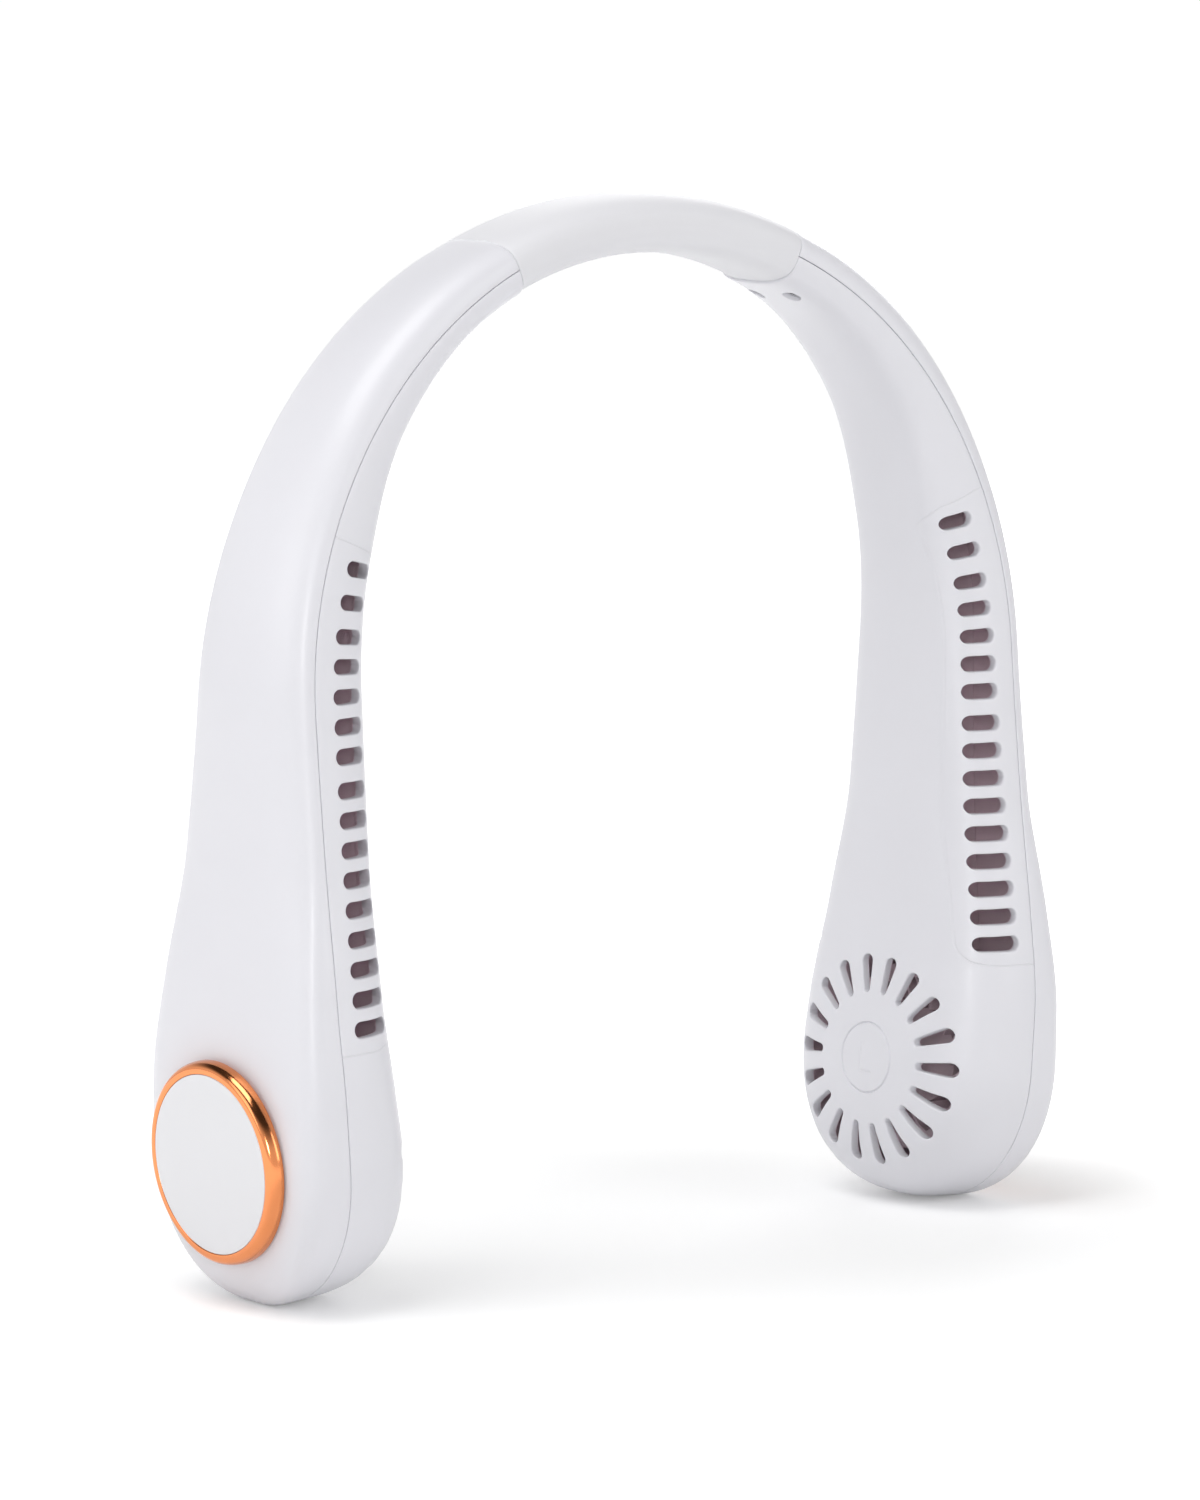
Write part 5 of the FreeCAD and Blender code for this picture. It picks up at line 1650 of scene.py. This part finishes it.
@dataclass(frozen=True)
class NeckBand:
    """Soft band between the arms, its spring strip and its lead, each in two halves, one beside each arm."""

    form: ArmForm
    rows: int = 40
    columns: int = 96
    end_round: float = 0.35
    round_steps: int = 4
    band_sharp: float = 60.0
    strip_width: float = 12.0
    strip_thickness: float = 0.8
    strip_side: float = -4.0
    lead_radius: float = 0.9
    lead_columns: int = 16
    lead_side: float = 5.0
    lead_depth: float = 3.0
    bend_margin: float = 0.035

    def carried(self, name: str, arm: Arm, across: Array, height: Array, insets: Array, turns: Array,
                sharp: float) -> bpy.types.Object:
        """Closed section carried round the band's arc, from the middle to one arm.

        Each row is the section at one turn: its height is added to the parting radius, and both
        are drawn in towards the section's middle by the row's inset.

        Args:
            name: the piece's name.
            arm: arm that this half lies beside; RIGHT mirrors it.
            across: the section's places along Y.
            height: its places outwards from the parting circle.
            insets: how far each row is drawn in.
            turns: turn of each row from the top, in radians.
            sharp: edges that turn by more than this many degrees stay sharp.

        Returns:
            The new piece.
        """
        middle = np.array([(across.max() + across.min()) / 2, (height.max() + height.min()) / 2])
        half = np.array([np.ptp(across) / 2, np.ptp(height) / 2])
        shrink = 1 - insets[:, None] / half
        wide = middle[0] + (across - middle[0]) * shrink[:, :1]
        radius = self.form.parting_radius + middle[1] + (height - middle[1]) * shrink[:, 1:]
        turn = turns[:, None]
        base = self.form.arc_height - self.form.ground
        points = np.stack([-radius * np.sin(turn), wide, base + radius * np.cos(turn)], axis=-1)
        pile = MeshPile()
        numbers = pile.add(points)
        pile.tube(numbers)
        ends = pile.add(points[[0, -1]].mean(axis=1))
        pile.cap(numbers[0], ends[0], flip=True)
        pile.cap(numbers[-1], ends[1])
        made = pile.piece(f"{name}_{arm.word}_half", arm, sharp)
        self.bend(made, arm)
        return made

    def bend(self, piece: bpy.types.Object, arm: Arm) -> None:
        """Bake a half's placement into its mesh.

        Args:
            piece: half of the band, the strip or the lead.
            arm: not used.
        """
        arm.body
        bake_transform(piece)

    def build(self) -> None:
        """Make the halves of the band, the strip and the lead."""
        form = self.form
        end = math.radians(form.band_half_angle)
        steps = np.linspace(0.0, math.pi / 2, self.round_steps + 1)
        last = end - self.end_round / form.parting_radius
        round_turns = last + (end - last) * np.sin(steps)
        turns = np.concatenate([np.linspace(0.0, last, self.rows)[:-1], round_turns])
        insets = np.concatenate([np.zeros(self.rows - 1), self.end_round * (1 - np.cos(steps))])
        round_section = np.linspace(0.0, 2 * math.pi, self.columns, endpoint=False)
        inner = form.end_inner_depth - form.band_inner_step
        reach = form.reach(round_section, form.section_power)
        across = -form.band_width / 2 * reach * np.cos(round_section)
        depth = np.where(np.sin(round_section) > 0, inner, form.band_outer_depth)
        height = -depth * reach * np.sin(round_section)
        corner = np.array([-1.0, 1.0, 1.0, -1.0])
        plain = np.zeros(len(turns))
        circle = np.linspace(0.0, 2 * math.pi, self.lead_columns, endpoint=False)
        for arm in Arm:
            band = self.carried("band", arm, across, height, insets, turns, self.band_sharp)
            self.dress(band, Finishes.BAND, "neck_band")
            strip = self.carried(
                "spring_strip", arm, self.strip_side + corner * self.strip_width / 2,
                np.roll(corner, -1) * self.strip_thickness / 2, plain, turns, SHARP_ANGLE)
            self.dress(strip, Finishes.SPRING, "band_spring_strip")
            lead = self.carried(
                "band_wire", arm, self.lead_side + self.lead_radius * np.cos(circle),
                self.lead_depth + self.lead_radius * np.sin(circle), plain, turns, SHARP_ANGLE)
            self.dress(lead, Finishes.LEAD, "band_lead")

    @staticmethod
    def dress(piece: bpy.types.Object, finish: Finish, node: str) -> None:
        """Finish a half and let it stand for its CAD node.

        Args:
            piece: half of the band, the strip or the lead.
            finish: its finish.
            node: name of the CAD node.
        """
        Finishes.dress(piece, finish)
        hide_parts(node)


@dataclass(frozen=True)
class ArmPieces:
    """The casings and covers of one arm."""

    form: ArmForm
    arm: Arm

    def ride(self, piece: bpy.types.Object, finish: Finish, node: str) -> None:
        """Finish a piece, let it ride on its arm and stand for its CAD node.

        Args:
            piece: casing or cover.
            finish: its finish.
            node: name of the CAD node, without the arm's word.
        """
        Finishes.dress(piece, finish)
        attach(piece, self.arm.body)
        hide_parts(f"{self.arm.word}_{node}")

    def build(self) -> None:
        """Make the arm's casings, ring and disc."""
        outer = OuterCasing(self.form)
        outer.close()
        self.ride(outer.pile.piece(f"{self.arm.word}_outer_casing", self.arm), Finishes.SHELL, "outer_shell")
        inner = InnerCasing(self.form, arm=self.arm)
        inner.open_outlets()
        inner.open_intake()
        inner.sink_screw_recesses()
        if self.arm is Arm.LEFT:
            Controls(self.form).open(inner)
        inner.close()
        self.ride(inner.pile.piece(f"{self.arm.word}_inner_casing", self.arm), Finishes.SHELL, "inner_shell")
        cover = PaddleCover(self.form)
        self.ride(cover.ring(self.arm), Finishes.COPPER, "trim_ring")
        self.ride(cover.disc(self.arm), Finishes.DISC, "disc_cover")


class InnerWorks:
    """Finishes of the CAD nodes that stay as they are: motors, leads, cells, board and fasteners."""

    # The impeller and air guide take a painted shade tint, the warm tone of the shaded interior.
    BY_WORDS: dict[str, Finish] = {
        "motor_base": Finishes.DARK, "motor_screws": Finishes.STEEL, "bearing_sleeve": Finishes.BRONZE,
        "stator_core": Finishes.IRON, "windings": Finishes.WIRE, "magnet": Finishes.MAGNET,
        "rotor_can": Finishes.STEEL, "shaft": Finishes.STEEL, "impeller": Finishes.BLOWER,
        "air_guide": Finishes.BLOWER, "cell": Finishes.WRAP, "motor_lead": Finishes.LEAD,
        "arm_lead": Finishes.LEAD, "band_anchor": Finishes.DARK, "anchor_screws": Finishes.STEEL,
        "circuit_board": Finishes.BOARD, "charging_socket": Finishes.STEEL, "power_button": Finishes.DISC,
        "button_switch": Finishes.DARK, "status_lights": Finishes.CLEAR,
    }

    @classmethod
    def dress(cls) -> None:
        """Finish every CAD node that is still shown."""
        for name, node in sorted(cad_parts.items()):
            words = name.removeprefix("left_").removeprefix("right_")
            if words in cls.BY_WORDS and not node.hide_render:
                Finishes.dress(node, cls.BY_WORDS[words])
                LOG.info("%s: %s", name, cls.BY_WORDS[words].name)


@dataclass(frozen=True)
class Softbox:
    """Square soft light, with its place and its side in metres and its power in watts."""

    name: str
    place: Triple
    side: float
    power: float

    def hang(self, target: Vector) -> None:
        """Hang the light so that it looks at a target.

        Args:
            target: point that the light looks at, in metres.
        """
        data = bpy.data.lights.new(self.name, "AREA")
        data.size = self.side
        data.energy = self.power
        made = bpy.data.objects.new(self.name, data)
        aim = target - Vector(self.place)
        facing = aim.to_track_quat("-Z", "Y").to_matrix().to_4x4()
        made.matrix_world = Matrix.Translation(self.place) @ facing
        bpy.context.scene.collection.objects.link(made)


@dataclass(frozen=True)
class Studio:
    """Pale floor, soft light and the camera, at the photograph's viewing angle."""

    image_height: float = 1500.0
    focal_pixels: float = 7169.4
    azimuth: float = -39.592
    elevation: float = 7.79
    range_mm: float = 1594.0
    slide: Pair = (4.54, 5.87)
    roll: float = 0.4
    aim_height: float = 118.0
    sensor: float = 36.0
    clip_start: float = 0.01
    floor_size: float = 40.0
    floor_colour: Triple = (0.9, 0.9, 0.9)
    floor_glow: Pair = (0.2, 0.68)
    glow_radii: Pair = (0.11, 0.22)
    ambient: float = 0.37
    zenith: float = 0.05
    backdrop_top: Pair = (0.2, 0.7)
    lights: tuple[Softbox, ...] = (
        Softbox("front_light", (-1.1, -1.25, 0.45), 0.3, 4.2),
        Softbox("left_light", (-1.45, 0.3, 0.7), 0.9, 3.6),
        Softbox("right_light", (0.75, -1.3, 0.6), 0.8, 5.0),
        Softbox("top_light", (-0.6, 0.0, 1.5), 0.9, 10.5),
        Softbox("back_light", (1.2, 1.1, 0.8), 0.9, 6.0),
    )

    @property
    def target(self) -> Vector:
        """Middle of the fan, in millimetres."""
        return Vector((0.0, 0.0, self.aim_height))

    def camera(self) -> None:
        """Place the camera by its angles, its range, its slide in the image plane and its roll."""
        turn, rise = math.radians(self.azimuth), math.radians(self.elevation)
        back = Vector((math.sin(turn) * math.cos(rise), -math.cos(turn) * math.cos(rise), math.sin(rise)))
        right = Vector((math.cos(turn), math.sin(turn), 0.0))
        up = back.cross(right)
        place = self.target + back * self.range_mm - right * self.slide[0] - up * self.slide[1]
        data = bpy.data.cameras.new("camera")
        data.sensor_fit = "VERTICAL"
        data.sensor_height = self.sensor
        data.lens = self.focal_pixels * self.sensor / self.image_height
        data.clip_start = self.clip_start
        made = bpy.data.objects.new("camera", data)
        facing = Matrix((right, up, back)).transposed().to_4x4()
        rolled = facing @ Matrix.Rotation(math.radians(self.roll), 4, "Z")
        made.matrix_world = Matrix.Translation(place * MM) @ rolled
        bpy.context.scene.collection.objects.link(made)
        bpy.context.scene.camera = made

    def world(self) -> None:
        """Even light for the object, and a white backdrop, greyer overhead, where it is seen or mirrored."""
        world = bpy.data.worlds.new("studio")
        world.use_nodes = True
        tree = world.node_tree
        way = add_node(tree, "TexCoord", {}).outputs["Generated"]
        height = add_node(tree, "SeparateXYZ", {0: way}).outputs["Z"]
        low, high = self.backdrop_top
        fade = {"Value": height, "From Min": low, "From Max": high, "To Min": 1.0, "To Max": self.zenith}
        backdrop = add_node(tree, "MapRange", fade, interpolation_type="SMOOTHSTEP").outputs["Result"]
        choice = {"Value": self.seen(tree), "To Min": self.ambient, "To Max": backdrop}
        level = add_node(tree, "MapRange", choice).outputs["Result"]
        feed(tree, tree.nodes["Background"], {"Color": (1.0, 1.0, 1.0, 1.0), "Strength": level})
        bpy.context.scene.world = world

    @staticmethod
    def seen(tree: NodeTree) -> Socket:
        """One where the camera, a reflection or glass looks, and nought for light on the object.

        Args:
            tree: node tree that takes the nodes.

        Returns:
            The socket of the greatest of the three kinds of ray.
        """
        path = add_node(tree, "LightPath", {})
        total = path.outputs["Is Camera Ray"]
        for word in ("Is Glossy Ray", "Is Transmission Ray"):
            total = add_node(tree, "Math", {0: total, 1: path.outputs[word]}, operation="MAXIMUM").outputs[0]
        return total

    def floor(self) -> None:
        """Pale floor that keeps the object's shadow, with a glow that grows away from the object."""
        reach = self.floor_size / 2
        mesh = bpy.data.meshes.new("floor")
        corners = [(-reach, -reach, 0), (reach, -reach, 0), (reach, reach, 0), (-reach, reach, 0)]
        mesh.from_pydata(corners, [], [(0, 1, 2, 3)])
        made = bpy.data.objects.new("floor", mesh)
        bpy.context.scene.collection.objects.link(made)
        material = bpy.data.materials.new("floor")
        material.use_nodes = True
        tree = material.node_tree
        tree.nodes.remove(tree.nodes["Principled BSDF"])
        place = add_node(tree, "TexCoord", {}).outputs["Object"]
        radius = add_node(tree, "VectorMath", {0: place}, operation="LENGTH").outputs["Value"]
        (near, far), (dim, bright) = self.glow_radii, self.floor_glow
        spread = {"Value": radius, "From Min": near, "From Max": far, "To Min": dim, "To Max": bright}
        share = add_node(tree, "MapRange", spread, interpolation_type="SMOOTHSTEP").outputs["Result"]
        strength = add_node(tree, "Math", {0: self.seen(tree), 1: share}, operation="MULTIPLY").outputs[0]
        glow = add_node(tree, "Emission", {"Strength": strength}).outputs[0]
        matt = add_node(tree, "BsdfDiffuse", {"Color": (*self.floor_colour, 1.0)}).outputs[0]
        both = add_node(tree, "AddShader", {0: matt, 1: glow}).outputs[0]
        feed(tree, tree.nodes["Material Output"], {"Surface": both})
        mesh.materials.append(material)

    def build(self) -> None:
        """Set the stage up."""
        bpy.context.scene.view_settings.view_transform = "Standard"
        self.camera()
        self.world()
        self.floor()
        for light in self.lights:
            light.hang(self.target * MM)


def main() -> None:
    """Build the stage and every piece."""
    logging.basicConfig(level=logging.INFO, format="%(name)s %(message)s")
    Studio().build()
    form = ArmForm()
    for arm in Arm:
        ArmPieces(form, arm).build()
    NeckBand(form).build()
    InnerWorks.dress()


if __name__ == "__main__":
    main()
